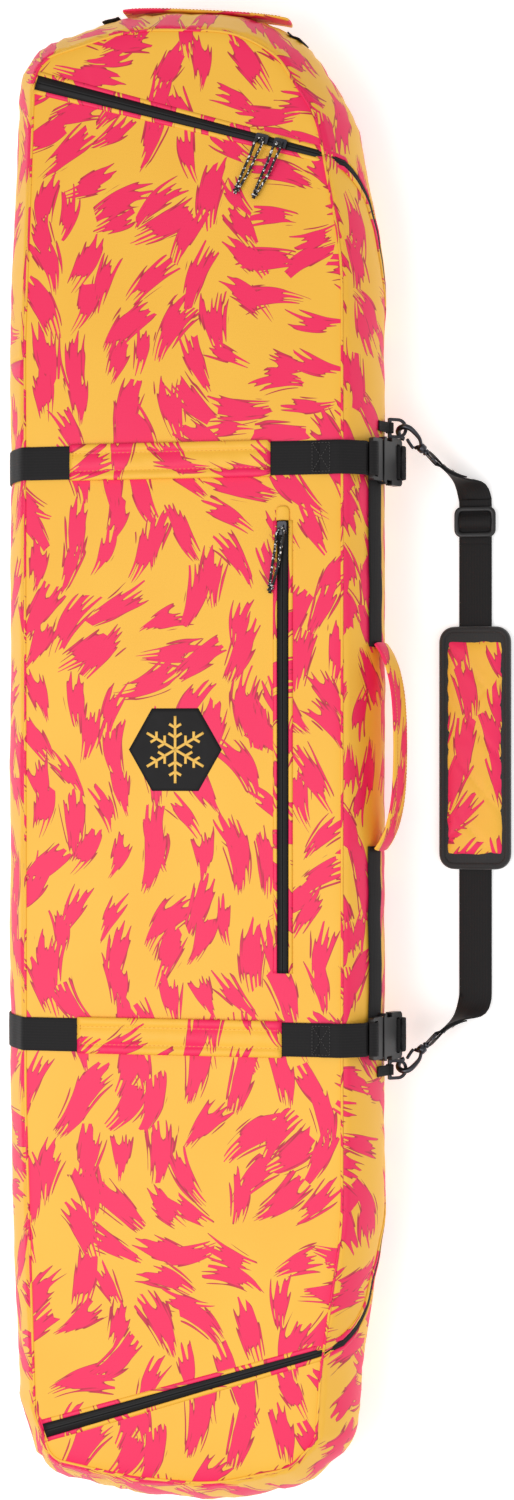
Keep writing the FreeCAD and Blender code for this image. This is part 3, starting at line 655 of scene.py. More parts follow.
    @staticmethod
    def stitches(name: str, lines: Sequence[Sequence[Spot]], pitch: float, gauge: float,
                 finish: Finish) -> bpy.types.Object:
        """Make rows of lockstitches, each one a small lozenge half sunk in the cloth.

        Args:
            name: the piece's name.
            lines: a track for each row.
            pitch: the distance from stitch to stitch in mm.
            gauge: the thread's width in mm.
            finish: the thread's material.

        Returns:
            One mesh with all the stitches.
        """
        points, faces = [], []
        for line in lines:
            marks = smooth_spots(line, pitch)
            for a, b in zip(marks, marks[1:]):
                ahead = b.at - a.at
                length = ahead.length * 0.72
                ahead.normalize()
                side = a.out.cross(ahead).normalized()
                middle = (a.at + b.at) / 2 + a.out * (gauge * 0.3)
                base = len(points)
                ends = [middle - ahead * (length / 2) - a.out * gauge * 0.3,
                        middle + ahead * (length / 2) - a.out * gauge * 0.3]
                belt = [middle + ahead * (length * s) + side * (gauge * 0.5 * w) + a.out * (gauge * 0.5 * h)
                        for s in (-0.25, 0.25) for w, h in ((1, 0), (0, 1), (-1, 0), (0, -1))]
                points += ends + belt
                for k in range(4):
                    n = (k + 1) % 4
                    faces += [(base, base + 2 + n, base + 2 + k),
                              (base + 2 + k, base + 2 + n, base + 6 + n, base + 6 + k),
                              (base + 1, base + 6 + k, base + 6 + n)]
        return Maker.build(name, points, faces, None, finish)


def rounded_loop(middles: tuple[float, float, float, float], radius: float, z: float,
                 step: float) -> list[Spot]:
    """Return a level loop with four rounded corners, clockwise from the upper right one.

    Args:
        middles: left, right, low and high of the corners' middles.
        radius: the corners' radius.
        z: the height.
        step: the longest way between two spots of a straight side.

    Returns:
        Spots along the loop, all facing up.
    """
    left, right, low, high = middles
    track = [Spot(Vector((x + radius * math.cos(turn), y + radius * math.sin(turn), z)), UP)
             for x, y, start in ((right, high, 90), (right, low, 0), (left, low, -90), (left, high, -180))
             for turn in (math.radians(start - 15 * k) for k in range(7))]
    dense = []
    for spot, after in zip(track, track[1:] + track[:1]):
        parts = max(1, round((after.at - spot.at).length / step))
        dense += [Spot(spot.at.lerp(after.at, k / parts), spot.out) for k in range(parts)]
    return dense


def tilted(degrees: float) -> tuple[Vector, Vector]:
    """Return the directions down and out of a plate that leans back from upright, facing the right side."""
    tilt = math.radians(degrees)
    return Vector((math.sin(tilt), 0, -math.cos(tilt))), Vector((math.cos(tilt), 0, math.sin(tilt)))


def shift(spot: Spot, ahead: Vector, aside: float = 0.0, lift: float = 0.0) -> Spot:
    """Return a spot moved across its track by aside and outward by lift, in mm."""
    across = spot.out.cross(ahead).normalized()
    return Spot(spot.at + across * aside + spot.out * lift, spot.out)


def beside(track: Sequence[Spot], aside: float, lift: float = 0.0) -> list[Spot]:
    """Return a track that runs beside another, aside across it and lift above it, in mm.

    Args:
        track: the other track.
        aside: how far across.
        lift: how far above.

    Returns:
        The new track.
    """
    made = []
    for i, spot in enumerate(track):
        ahead = track[min(i + 1, len(track) - 1)].at - track[max(i - 1, 0)].at
        made.append(shift(spot, ahead, aside, lift))
    return made


# ---- the bag's form ----------------------------------------------------------------------
@dataclass
class Form:
    """The padded body: an outline that bulges towards half height, soft and creased."""

    corners: tuple[tuple[float, float, float], ...] = (
        (-223, 470, 900), (-210, 823, 75), (-62, 862, 260), (82, 852, 170), (140, 808, 100), (190, 728, 140),
        (221, 560, 500), (221, -530, 500), (197, -690, 300), (190, -785, 70), (142, -835, 90),
        (38, -861, 260), (-62, -858, 260), (-182, -838, 62), (-211, -755, 90), (-222, -400, 900))
    depth: float = 150.0
    middle: float = 75.0
    inset: float = 38.0
    step: float = 6.0
    seam_dip: float = 2.2        # how far the cloth turns down at a seam
    seam_reach: float = 6.0
    zip_z: float = 40.0
    zip_top_y: float = 505.0
    zip_low_y: float = -512.0
    seam_x: float = 182.0
    top_diagonal: tuple[Pair, Pair] = ((-182, 772), (182, 665))
    low_diagonal: tuple[Pair, Pair] = ((-182, -779), (182, -661))
    straps: tuple[float, float] = (333.0, -319.0)
    edge: list[tuple[Vector, Vector, float]] = field(default_factory=list)

    def __post_init__(self) -> None:
        """Work out the rounded outline, with its outward directions and running length."""
        loop: list[tuple[Vector, Vector]] = []
        count = len(self.corners)
        for i, (x, y, radius) in enumerate(self.corners):
            here = Vector((x, y, 0))
            back = (Vector((*self.corners[i - 1][:2], 0)) - here).normalized()
            on = (Vector((*self.corners[(i + 1) % count][:2], 0)) - here).normalized()
            half = back.angle(on) / 2
            centre = here + (back + on).normalized() * (radius / math.sin(half))
            sweep = math.pi - 2 * half
            first = Vector((back.y, -back.x, 0))
            bulge = math.copysign(1.0, back.cross(on).z)
            for k in range(13):
                angle = -bulge * sweep * k / 12
                way = Vector((first.x * math.cos(angle) - first.y * math.sin(angle),
                              first.x * math.sin(angle) + first.y * math.cos(angle), 0))
                loop.append((centre + way * (radius * bulge), way))
        run = 0.0
        for i, (here, way) in enumerate(loop):
            there, next_way = loop[(i + 1) % len(loop)]
            gap = (there - here).length
            parts = max(1, round(gap / self.step))
            for k in range(parts):
                t = k / parts
                self.edge.append((here.lerp(there, t), way.lerp(next_way, t).normalized(), run + gap * t))
            run += gap
        self.around = run
        self.meets = {(top, right): self.meet(top, right) for top in (True, False) for right in (True, False)}

    def meet(self, top: bool, right: bool) -> float:
        """Return the running length at which a diagonal crosses the left or right front seam.

        Args:
            top: whether it is the upper diagonal.
            right: whether it is the right seam.

        Returns:
            The running length in mm.
        """
        y = (self.top_diagonal if top else self.low_diagonal)[1 if right else 0][1]
        for _ in range(6):
            y = self.diagonal(top, self.seam(self.find(y, right)).x)
        return self.find(y, right)

    def meet_y(self, top: bool, right: bool) -> float:
        """Return the y of that crossing."""
        return self.seam(self.meets[top, right]).y

    def at(self, s: float) -> tuple[Vector, Vector]:
        """Return the outline's point and outward direction at a running length in mm.

        Args:
            s: the running length.

        Returns:
            The point and the direction.
        """
        s %= self.around
        low, high = 0, len(self.edge)
        while high - low > 1:
            mid = (low + high) // 2
            low, high = (mid, high) if self.edge[mid][2] <= s else (low, mid)
        a, b = self.edge[low], self.edge[(low + 1) % len(self.edge)]
        gap = ((b[2] - a[2]) % self.around) or 1.0
        t = (s - a[2]) / gap
        return a[0].lerp(b[0], t), a[1].lerp(b[1], t).normalized()

    def find(self, y: float, right: bool) -> float:
        """Return the running length at which one side of the seam line is at y.

        Args:
            y: the place along the bag.
            right: whether it is the right side.

        Returns:
            The running length in mm.
        """
        best = min((e for e in self.edge if (e[1].x > 0) == right),
                   key=lambda e: abs(e[0].y - e[1].y * self.inset - y))
        s = best[2]
        for _ in range(4):
            p, n = self.at(s)
            s += (p.y - n.y * self.inset - y) * (1 if right else -1)
        return s

    def hollow(self, s: float, z: float) -> float:
        """Return how far the side cloth is sucked in by its creases at a place.

        Args:
            s: the running length.
            z: the height.

        Returns:
            The depth in mm.
        """
        p, _ = self.at(s)
        soft = noise.noise(Vector((s / 95, z / 70, 2.7)))
        fine = noise.noise(Vector((s / 26, z / 90, 8.1)))
        near_end = min(1.0, max(0.0, (abs(p.y) - 640) / 130))
        pucker = abs(noise.noise(Vector((s / 17, z / 160, 5.5)))) * 5.0 * near_end
        cinch = sum(math.exp(-((p.y - y) / 32) ** 2) for y in self.straps) * 1.6
        return 1.6 * (0.6 + soft) + 0.9 * (0.5 + fine) + pucker + cinch

    def side(self, s: float, z: float, lift: float = 0.0) -> Spot:
        """Return the spot on the side band at a running length and height in mm.

        Args:
            s: the running length.
            z: the height.
            lift: how far off the cloth.

        Returns:
            The spot.
        """
        p, n = self.at(s)
        rise = (z - self.middle) / self.middle
        slope = 2 * self.inset * rise / self.middle
        out = Vector((n.x, n.y, slope)).normalized()
        ends = min(1.0, (self.depth - z) / 18) * min(1.0, z / 14)
        inward = self.inset * rise * rise + self.hollow(s, z) * max(0.0, ends)
        return Spot(p - n * inward + Vector((0, 0, z)) + out * lift, out)

    def seam(self, s: float, dip: float | None = None) -> Vector:
        """Return the point of the front seam at a running length."""
        p, n = self.at(s)
        return p - n * self.inset + Vector((0, 0, self.depth - (self.seam_dip if dip is None else dip)))

    def relief(self, x: float, y: float) -> float:
        """Return how far the front cloth lies below its highest level.

        Args:
            x: across the bag.
            y: along it.

        Returns:
            The depth in mm.
        """
        soft = noise.noise(Vector((x / 120, y / 150, 1.3)))
        fine = noise.noise(Vector((x / 34, y / 60, 6.2)))
        cinch = sum(math.exp(-((y - strap) / 30) ** 2) for strap in self.straps) * 1.3
        return 1.0 * (0.7 + soft) + 0.35 * (0.6 + fine) + cinch

    def front(self, x: float, y: float, lift: float = 0.0) -> Spot:
        """Return the spot on the front at x, y."""
        return Spot(Vector((x, y, self.depth - self.relief(x, y) + lift)), UP)

    def top_of_side(self, s: float) -> float:
        """Return the height at which the fixed part of the side band ends.

        Args:
            s: the running length.

        Returns:
            The height in mm.
        """
        p, n = self.at(s)
        y = p.y - n.y * self.inset
        full = self.depth - self.seam_dip
        if n.x <= 0 or not self.meet_y(False, True) < y < self.meet_y(True, True):
            return full
        return min(full, self.zip_height(y))

    def zip_height(self, y: float) -> float:
        """Return the zipper's height along the right side at y.

        Args:
            y: the place along the bag.

        Returns:
            The height in mm.
        """
        turn = self.zip_top_y if y > 0 else -self.zip_low_y
        seam = abs(self.meet_y(y > 0, True))
        marks = ((turn - 55, self.zip_z), (turn - 30, self.zip_z + 1.5), (turn - 8, self.zip_z + 8),
                 (turn + 14, self.zip_z + 22), (turn + 38, self.zip_z + 34), (seam - 72, 87.0),
                 (seam - 50, 92.5), (seam - 36, 101.0), (seam - 22, 113.0), (seam - 10, 126.0),
                 (seam, self.depth - self.seam_dip))
        far = abs(y)
        if far <= marks[0][0]:
            return self.zip_z
        for (y0, z0), (y1, z1) in zip(marks, marks[1:]):
            if far <= y1:
                return z0 + (z1 - z0) * (far - y0) / (y1 - y0)
        return marks[-1][1]

    def diagonal(self, top: bool, x: float) -> float:
        """Return a diagonal's y at x."""
        (x0, y0), (x1, y1) = self.top_diagonal if top else self.low_diagonal
        return y0 + (y1 - y0) * (x - x0) / (x1 - x0)


# ---- the fixed shell ---------------------------------------------------------------------
@dataclass
class Shell:
    """The bag's fixed body: back, side band, both ends, and the zipper's outer half."""

    form: Form
    cloth_t: float = 4.0
    band_step: float = 9.0
    band_rows: int = 18
    roll: float = 1.5            # radius of the corded seams
    tape_left: float = 7.5
    tape_right: float = 3.0
    web_w: float = 38.0
    web_t: float = 2.0

    def dress(self, obj: bpy.types.Object, *nodes: str) -> bpy.types.Object:
        """Make a piece ride on the shell in place of its CAD nodes.

        Args:
            obj: the piece.
            nodes: the nodes it stands for.

        Returns:
            The same piece.
        """
        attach(obj, "shell")
        if nodes:
            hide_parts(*nodes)
        return obj

    def band(self) -> None:
        """Build the side band, which is cut away on the right for the opening side panel."""
        form, count = self.form, round(self.form.around / self.band_step)
        spots = [form.around * k / count for k in range(count + 1)]
        rows, uvs = [], []
        for r in range(self.band_rows + 1):
            share = r / self.band_rows
            line, cloth = [], []
            for s in spots:
                z = form.top_of_side(s) * (1 - share) + 0.6 * share
                line.append(form.side(s, z).at)
                cloth.append((700 + (form.depth - z) * 1.12, s))
            rows.append(line)
            uvs.append(cloth)
        middle = spots[count // 2]
        self.dress(Maker.cloth("shell_side_band", rows, uvs, form.at(middle)[1], self.cloth_t, closed=True),
                   "left_side_panel", "right_side_panel", "top_gusset", "bottom_gusset")

    def back(self) -> None:
        """Build the flat back and the padding inside it."""
        form = self.form
        top = max(e[0].y - e[1].y * form.inset for e in form.edge) - 0.5
        low = min(e[0].y - e[1].y * form.inset for e in form.edge) + 0.5
        rows, uvs = [], []
        count = 130
        for r in range(count + 1):
            turn = math.pi * r / count
            y = (top + low) / 2 + (top - low) / 2 * math.cos(turn)
            left, right = (form.seam(form.find(y, side), form.depth - 0.6) for side in (False, True))
            rows.append([left.lerp(right, k / 24) for k in range(25)])
            uvs.append([(p.x + 1500, p.y) for p in rows[-1]])
        self.dress(Maker.cloth("shell_back", rows, uvs, Vector((0, 0, -1)), self.cloth_t), "back_panel")

        def quilt(x: float, y: float) -> float:
            """Return the padding's height, drawn down along its crossed quilting lines.

            Args:
                x: across the bag.
                y: along it.

            Returns:
                The height in mm.
            """
            lines = min(abs((x + y) % 90 - 45), abs((x - y) % 90 - 45))
            rim = min(1.0, (175 - abs(x)) / 12, (795 - abs(y)) / 12)
            return 8.0 + 5.0 * max(0.0, rim) ** 0.5 * (1 - 0.7 * math.exp(-(lines / 5) ** 2))

        padding = Maker.pillow("back_padding", (-172, 172, -790, 790), 110, quilt, lambda x, y: 6.0, FOAM, 9.0)
        self.dress(padding, "back_foam")

    def end(self, top: bool) -> None:
        """Build the fixed front panel beyond one diagonal of the zipper.

        Args:
            top: whether it is the upper end.
        """
        form = self.form
        first, last = form.meets[top, not top], form.meets[top, top]
        span = (last - first) % form.around
        a, b = form.seam(first, 0.0), form.seam(last, 0.0)
        columns, count = 70, 30
        rows, uvs = [], []
        for r in range(count + 1):
            share = (r / count) ** 0.8
            line = []
            for c in range(columns + 1):
                outer = form.seam(first + span * c / columns, 0.0)
                inner = a.lerp(b, c / columns)
                p = inner.lerp(outer, share)
                gap = (outer - p).length
                fold = abs(noise.noise(Vector((c * 0.33, share * 0.9, 4.4 if top else 9.3))))
                puff = math.sin(math.pi * min(1.0, share * 1.15)) * (0.5 - fold) * 5.0
                dip = form.seam_dip * math.exp(-gap / form.seam_reach)
                p.z = (form.depth - dip - form.relief(p.x, p.y) * (1 - share)
                       + min(0.0, puff) * min(1.0, gap / 12))
                line.append(p)
            rows.append(line)
            uvs.append([(p.x, p.y + 400) for p in line])
        name = "top" if top else "bottom"
        self.dress(Maker.cloth(f"{name}_end_front", rows, uvs, UP, self.cloth_t),
                   f"{name}_end_panel")

    def seams(self) -> None:
        """Build the corded rolls along the front and back seams."""
        form = self.form
        start, stop = form.meets[False, True], form.meets[True, True]
        span = (stop - start) % form.around
        count = round(span / 8)
        front = []
        for k in range(count + 1):
            s = start + span * k / count
            _, n = form.at(s)
            front.append(Spot(form.seam(s, form.seam_dip - 0.2), Vector((n.x, n.y, 1)).normalized()))
        self.dress(Maker.sweep("front_seam_cord", front, round_profile(self.roll), PRINT, swap=True,
                               start=(1200.0, 0.0)))
        count = round(form.around / 8)
        back = []
        for k in range(count):
            s = form.around * k / count
            _, n = form.at(s)
            back.append(Spot(form.seam(s, form.depth - 1.7), Vector((n.x, n.y, -1)).normalized()))
        self.dress(Maker.sweep("back_seam_cord", back, round_profile(self.roll), PRINT, swap=True,
                               start=(1300.0, 0.0), loop=True))

    def zip_track(self) -> list[Spot]:
        """Return the zipper's line round the opening front, from the left seam and back to it.

        Returns:
            Spots along the line.
        """
        form = self.form
        track: list[Spot] = []

        def slant(top: bool) -> list[Spot]:
            """Return the line of one diagonal, from left to right.

            Args:
                top: whether it is the upper diagonal.

            Returns:
                Spots along the diagonal.
            """
            left, right = (form.seam(form.meets[top, side]).x for side in (False, True))
            xs = [left + 3 + (right - left - 5) * k / 48 for k in range(49)]
            return [form.front(x, form.diagonal(top, x), -min(2.0, 2.0 * math.exp(-(right - x) / 5)))
                    for x in xs]

        track += slant(True)
        high, low = form.meet_y(True, True), form.meet_y(False, True)
        for k in range(1, 171):
            y = high - 1.5 + (low - high + 3) * k / 171
            s = form.find(y, True)
            lift = 1.5 * math.exp(-abs(abs(y) - abs(high if y > 0 else low)) / 30)
            track.append(form.side(s, min(form.zip_height(y), form.depth - 3), lift))
        track += slant(False)[::-1]
        return track

    def tape_width(self, spot: Spot) -> float:
        """Return the visible width of each half of the zipper tape at a spot."""
        share = min(1.0, max(0.0, (spot.at.x + self.form.seam_x) / (2 * self.form.seam_x)))
        return self.tape_left + (self.tape_right - self.tape_left) * share

    def zip_half(self, side: int, name: str) -> tuple[bpy.types.Object, bpy.types.Object]:
        """Build one half of the zipper tape with the cloth folded beside it.

        Args:
            side: 1 for the shell's half, -1 for the lid's.
            name: the end of the pieces' names.

        Returns:
            The tape and the folded cloth edge.
        """
        track = self.zip_track()
        last = len(track) - 1

        def tape(share: float) -> Profile:
            """Return the tape's section, with its covered coil beside the middle.

            Args:
                share: the share of the way along the zipper.

            Returns:
                The closed section.
            """
            wide = self.tape_width(track[round(share * last)])
            ring = [(0.04, 0.0), (wide + 1.2, 0.0), (wide + 1.2, 0.5), (3.2, 0.6), (2.6, 1.1), (1.4, 1.5),
                    (0.5, 1.3), (0.04, 1.0)]
            return [(side * a, b) for a, b in ring]

        def fold(share: float) -> Profile:
            """Return the section of the cloth's folded edge.

            Args:
                share: the share of the way along the zipper.

            Returns:
                The closed section.
            """
            wide = self.tape_width(track[round(share * last)]) + 0.75
            ring = [(0.0, 0.2), (0.4, 1.1), (1.4, 1.5), (3.2, 1.3), (5.0, 0.3), (5.0, -0.6), (0.4, -0.6)]
            return [(side * (wide + a), b) for a, b in ring]

        return (Maker.sweep(f"zipper_tape_{name}", track, tape, ZIP_TAPE),
                Maker.sweep(f"zipper_fold_{name}", track, fold, PRINT, start=(0.0, 900.0)))

    def build(self) -> None:
        """Build every piece of the shell."""
        self.band()
        self.back()
        self.end(True)
        self.end(False)
        self.seams()
        tape, fold = self.zip_half(1, "shell")
        self.dress(tape, "main_zipper_tape_shell")
        self.dress(fold)
        self.handle_tabs()
        LOG.info("shell built: band, back, ends, seams and zipper half")

    def handle_tabs(self) -> None:
        """Build the webbing sewn under the ends of the top grab handle."""
        form = self.form
        for name, x, nodes in (("left", -94, ("top_handle_tabs",)), ("right", 123, ())):
            base = min((e for e in form.edge if e[1].y > 0.3), key=lambda e: abs(e[0].x - x))[2]
            track = [form.side(base + d, 80, 0.4) for d in range(-11, 12, 4)]
            tab = Maker.sweep(f"grab_handle_tab_{name}", track, rounded_profile(36, self.web_t), WEBBING)
            self.dress(tab, *nodes)


# ---- the opening front -------------------------------------------------------------------
@dataclass
class Lid:
    """The front and right side that swing open, with all that is sewn to them."""

    form: Form
    shell: Shell
    cloth_t: float = 4.0
    hinge: tuple[float, float] = (-0.1865, -0.170)
    sleeves: tuple[Pair, Pair] = ((-131, 102), (-122, 115))
    pocket_x: float = 116.0
    pocket_y: Pair = (-245.0, 263.0)
    pocket_w: float = 13.0
    buckle_at: Pair = (220.2, 97.4)
    buckle_tilt: float = 22.0

    def dress(self, obj: bpy.types.Object, *nodes: str) -> bpy.types.Object:
        """Make a piece ride on the lid in place of its CAD nodes.

        Args:
            obj: the piece.
            nodes: the nodes it stands for.

        Returns:
            The same piece.
        """
        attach(obj, "lid")
        if nodes:
            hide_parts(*nodes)
        return obj

    def fold_over(self, obj: bpy.types.Object, y: float, *nodes: str) -> None:
        """Bake the cloth's place into its mesh and hide the nodes it stands for.

        Args:
            obj: the cloth.
            y: where it crosses the fold; not used.
            nodes: the nodes it stands for.
        """
        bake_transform(obj)
        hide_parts(*nodes)

    def front_panel(self) -> None:
        """Build the front panel between the two diagonals of the zipper."""
        form = self.form
        ends = [[form.meet_y(top, right) for right in (False, True)] for top in (True, False)]
        edge = [0, 1.5, 3.5, 7, 12, 20]
        rows, uvs = [], []
        count = 190
        for r in range(count + 1):
            share = r / count
            left, right = (form.seam(form.find(ends[0][k] + (ends[1][k] - ends[0][k]) * share, bool(k)), 0.0)
                           for k in (0, 1))
            wide = (right - left).length
            shares = ([e / wide for e in edge] + [20 / wide + (1 - 40 / wide) * k / 36 for k in range(1, 36)]
                      + [1 - e / wide for e in edge[::-1]])
            line = []
            for t in shares:
                p = left.lerp(right, t)
                gap = min(t, 1 - t) * wide
                flat = min(1.0, gap / 14)
                dip = form.seam_dip * math.exp(-gap / form.seam_reach)
                p.z = form.depth - form.relief(p.x, p.y) * flat - dip
                line.append(p)
            rows.append(line)
            uvs.append([(p.x, p.y) for p in line])
        panel = Maker.cloth("lid_front", rows, uvs, UP, self.cloth_t)
        self.fold_over(panel, 0.0, "lid_front_panel")

    def side_panel(self) -> None:
        """Build the side panel from the right seam to the zipper."""
        form = self.form
        high, low = form.meet_y(True, True), form.meet_y(False, True)
        rows, uvs, seam = [], [], []
        count = 150
        for r in range(count + 1):
            y = high + (low - high) * r / count
            s = form.find(y, True)
            top, foot = form.depth - form.seam_dip, form.zip_height(y)
            zs = [top + (foot - top) * k / 14 for k in range(15)]
            rows.append([form.side(s, z).at for z in zs])
            uvs.append([(700 + (form.depth - z) * 1.12, s) for z in zs])
            _, n = form.at(s)
            seam.append(Spot(form.seam(s, form.seam_dip - 0.2), Vector((n.x, n.y, 1)).normalized()))
        self.dress(Maker.cloth("lid_side", rows, uvs, Vector((1, 0, 0)), self.cloth_t), "lid_side_panel")
        self.dress(Maker.sweep("lid_seam_cord", seam, round_profile(self.shell.roll), PRINT, swap=True,
                               start=(1250.0, 0.0)))

    def pocket(self) -> None:
        """Build the front pocket's zipper, its folded edges, its garage and its pouch inside."""
        form, x = self.form, self.pocket_x
        low, high = self.pocket_y
        track = [form.front(x, high - (high - low) * k / 90, 0.1) for k in range(91)]
        half = self.pocket_w / 2
        tape = [(0.04, 0.0), (half, 0.0), (half, 0.7), (3.0, 0.8), (2.4, 1.4), (1.3, 1.7), (0.5, 1.5),
                (0.04, 1.1)]
        lip = [(0.0, 0.2), (0.3, 1.6), (1.2, 2.0), (3.4, 1.8), (4.8, 0.4), (4.8, -0.4), (0.0, -0.4)]
        for name, side in (("left", 1), ("right", -1)):
            self.dress(Maker.sweep(f"pocket_tape_{name}", track, [(side * a, b) for a, b in tape], ZIP_TAPE),
                       *(("pocket_zipper_tape",) if side > 0 else ()))
            edge = [(side * (half + a), b) for a, b in lip]
            self.dress(Maker.sweep(f"pocket_fold_{name}", track, edge, PRINT, swap=True,
                                   start=(0.0, 820.0 + side * 20)))
        rows = [form.front(x, high + 16 - k * 1.75, 0.2) for k in range(10)]
        self.dress(Maker.sweep("pocket_garage_flap", rows, lambda t: rounded_profile(
            15 - 6 * (1 - min(1, t * 3)) ** 2, 2.0, 1.0), PRINT, swap=True), "pocket_garage")
        inside = form.depth - 8
        self.dress(Maker.pillow("pocket_pouch_lining", (-118, 128, low - 18, high + 18), 25,
                                lambda a, b: inside - 0.6, lambda a, b: inside - 3.6 + 0.6 * noise.noise(
                                    Vector((a / 40, b / 50, 0))), LINING, 14.0), "pocket_pouch")

    def emblem(self) -> None:
        """Print a plain six-sided badge with a snow crystal on the front."""
        form, cx, cy, radius = self.form, -8.0, 6.0, 54.0

        def hexagon(grow: float, sides: int = 6) -> list[Vector]:
            """Return the corners of a hexagon."""
            return [Vector((cx + grow * math.cos(math.pi * k / 3), cy + grow * math.sin(math.pi * k / 3), 0))
                    for k in range(sides)]

        points, faces = [Vector((cx, cy, 0))], []
        rings = 9
        for ring in range(1, rings + 1):
            corners = hexagon(radius * ring / rings)
            for k in range(6):
                points += [corners[k].lerp(corners[(k + 1) % 6], j / ring) for j in range(ring)]
        index = {(round(p.x, 3), round(p.y, 3)): i for i, p in enumerate(points)}
        unit = radius / rings
        for i, p in enumerate(points):
            for turn in range(0, 120, 60):
                a, b = (Vector((p.x + unit * math.cos(d), p.y + unit * math.sin(d), 0))
                        for d in (math.radians(turn), math.radians(turn + 60)))
                found = [index.get((round(q.x, 3), round(q.y, 3))) for q in (a, b)]
                if None not in found:
                    faces.append((i, found[0], found[1]))
        for p in points:
            p.z = form.front(p.x, p.y, 0.25).at.z
        badge = Maker.build("emblem_badge", points, faces, None, INK)
        plate = badge.modifiers.new("thickness", "SOLIDIFY")
        plate.thickness, plate.offset = 0.3 * MM, -1.0
        self.dress(badge, "emblem")
        arms: list[tuple[Vector, Vector]] = []
        for k in range(6):
            turn = math.pi * k / 3 + math.pi / 6
            way = Vector((math.cos(turn), math.sin(turn), 0))
            centre = Vector((cx, cy, 0))
            arms.append((centre, centre + way * 38))
            for reach, size in ((14.0, 9.0), (25.0, 8.0)):
                for side in (-1, 1):
                    angle = math.radians(60 * side)
                    twig = Vector((way.x * math.cos(angle) - way.y * math.sin(angle),
                                   way.x * math.sin(angle) + way.y * math.cos(angle), 0))
                    arms.append((centre + way * reach, centre + way * reach + twig * size))
        points, faces = [], []
        for number, (a, b) in enumerate(arms):
            side = Vector((b.y - a.y, a.x - b.x, 0)).normalized() * 1.5
            base = len(points)
            parts = 8
            for k in range(parts + 1):
                p = a.lerp(b, k / parts)
                points += [form.front(e.x, e.y, 0.45 + 0.004 * number).at for e in (p - side, p + side)]
            faces += [(low, low + 2, low + 3, low + 1) for low in range(base, base + 2 * parts, 2)]
        crystal = Maker.build("emblem_crystal", points, faces, None, PALE_INK)
        film = crystal.modifiers.new("thickness", "SOLIDIFY")
        film.thickness, film.offset = 0.15 * MM, 1.0
        self.dress(crystal)

    def buckle_spot(self, y: float, along: float, out: float) -> Spot:
        """Return a spot in a buckle's own directions, in mm from the middle of its back face."""
        way, up = tilted(self.buckle_tilt)
        return Spot(Vector((self.buckle_at[0], y, self.buckle_at[1])) + way * along + up * out, up)

    def cinch_straps(self) -> None:
        """Build each cinch strap from the left side across the front to its buckle, and its sleeve."""
        form, shell = self.form, self.shell
        section = rounded_profile(shell.web_w, shell.web_t, 0.15, count=8)
        for k, (end, y) in enumerate(zip(("top", "bottom"), form.straps)):
            s = form.find(y, False)
            side = [form.side(s, z, 0.5) for z in (4, 20, 40, 60, 75, 90, 105, 120, 132, 141)]
            fold = [Spot(Vector((-185.4, y, form.depth - 1.4)), Vector((-0.6, 0, 0.8)))]
            front = [form.front(x, y, 0.5)
                     for x in (-177, -168, -150, -120, -80, -40, 0, 40, 80, 120, 150, 172)]
            track = smooth_spots(side + fold + front, 5.0)
            strap = Maker.sweep(f"cinch_webbing_{end}", track, section, WEBBING)
            self.fold_over(strap, y, f"strap_webbing_{end}", *(("strap_webbing_left",) if k == 0 else ()))
            self.sleeve(end, y, *self.sleeves[k])
            bar = [self.buckle_spot(y, a, b)
                   for a, b in ((-41, 1.4), (-35, -0.7), (-29, -0.6), (-24.6, 0.4), (-22.6, 3.6),
                                (-22.9, 8.6), (-25.6, 11.6), (-29, 12.4), (-33, 11.6), (-38, 6.8))]
            turn = [UP] * 2 + [Vector((0.45, 0, 0.9)).normalized()]
            over = [(x, form.front(x, y, 2.6).at.z) for x in (158, 172)] + [(183.5, 149.6)]
            start = [Spot(Vector((x, y, z)), n) for (x, z), n in zip(over, turn)]
            ways = [(-0.2, 1), (0, 1), (0.1, 1), (0.6, 0.9), (1, 0), (1, -0.5), (0.3, -1), (0, -1),
                    (-0.3, -1), (-0.6, -1)]
            way, up = tilted(self.buckle_tilt)
            bent = [Spot(b.at, (up * w[1] - way * w[0]).normalized()) for b, w in zip(bar, ways)]
            track = smooth_spots(start + bent, 2.5)
            tip = Maker.sweep(f"cinch_strap_tip_{end}", track, section, WEBBING)
            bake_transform(tip)
            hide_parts(f"strap_end_{end}")
            self.tail(end, y, section)
            self.sewing(end, y)

    def tail(self, end: str, y: float, section: Profile) -> None:
        """Build the short webbing that holds the buckle's socket to the side.

        Args:
            end: top or bottom.
            y: the strap's middle.
            section: the webbing's section.
        """
        way, up = tilted(self.buckle_tilt)
        marks = [((44.5, -7.2), (0, 1)), ((38.5, -4.0), (-0.2, 1)), ((31.5, -1.6), (-0.1, 1)),
                 ((26, -1.0), (-0.2, 1)), ((22.8, 0.6), (-0.8, 0.8)), ((21.6, 5.0), (-1, 0)),
                 ((22.6, 11.0), (-0.6, -0.8)), ((26.5, 13.6), (0, -1)), ((31.0, 13.2), (0.4, -1)),
                 ((35.0, 9.4), (0.7, -0.8)), ((39.5, 2.2), (0.6, -0.9))]
        spots = [Spot(self.buckle_spot(y, a, b).at, (up * n + way * m).normalized())
                 for (a, b), (m, n) in marks]
        tail = Maker.sweep(f"buckle_tail_{end}", smooth_spots(spots, 2.5), section, WEBBING)
        self.dress(tail, *(("buckle_tails",) if end == "top" else ()))

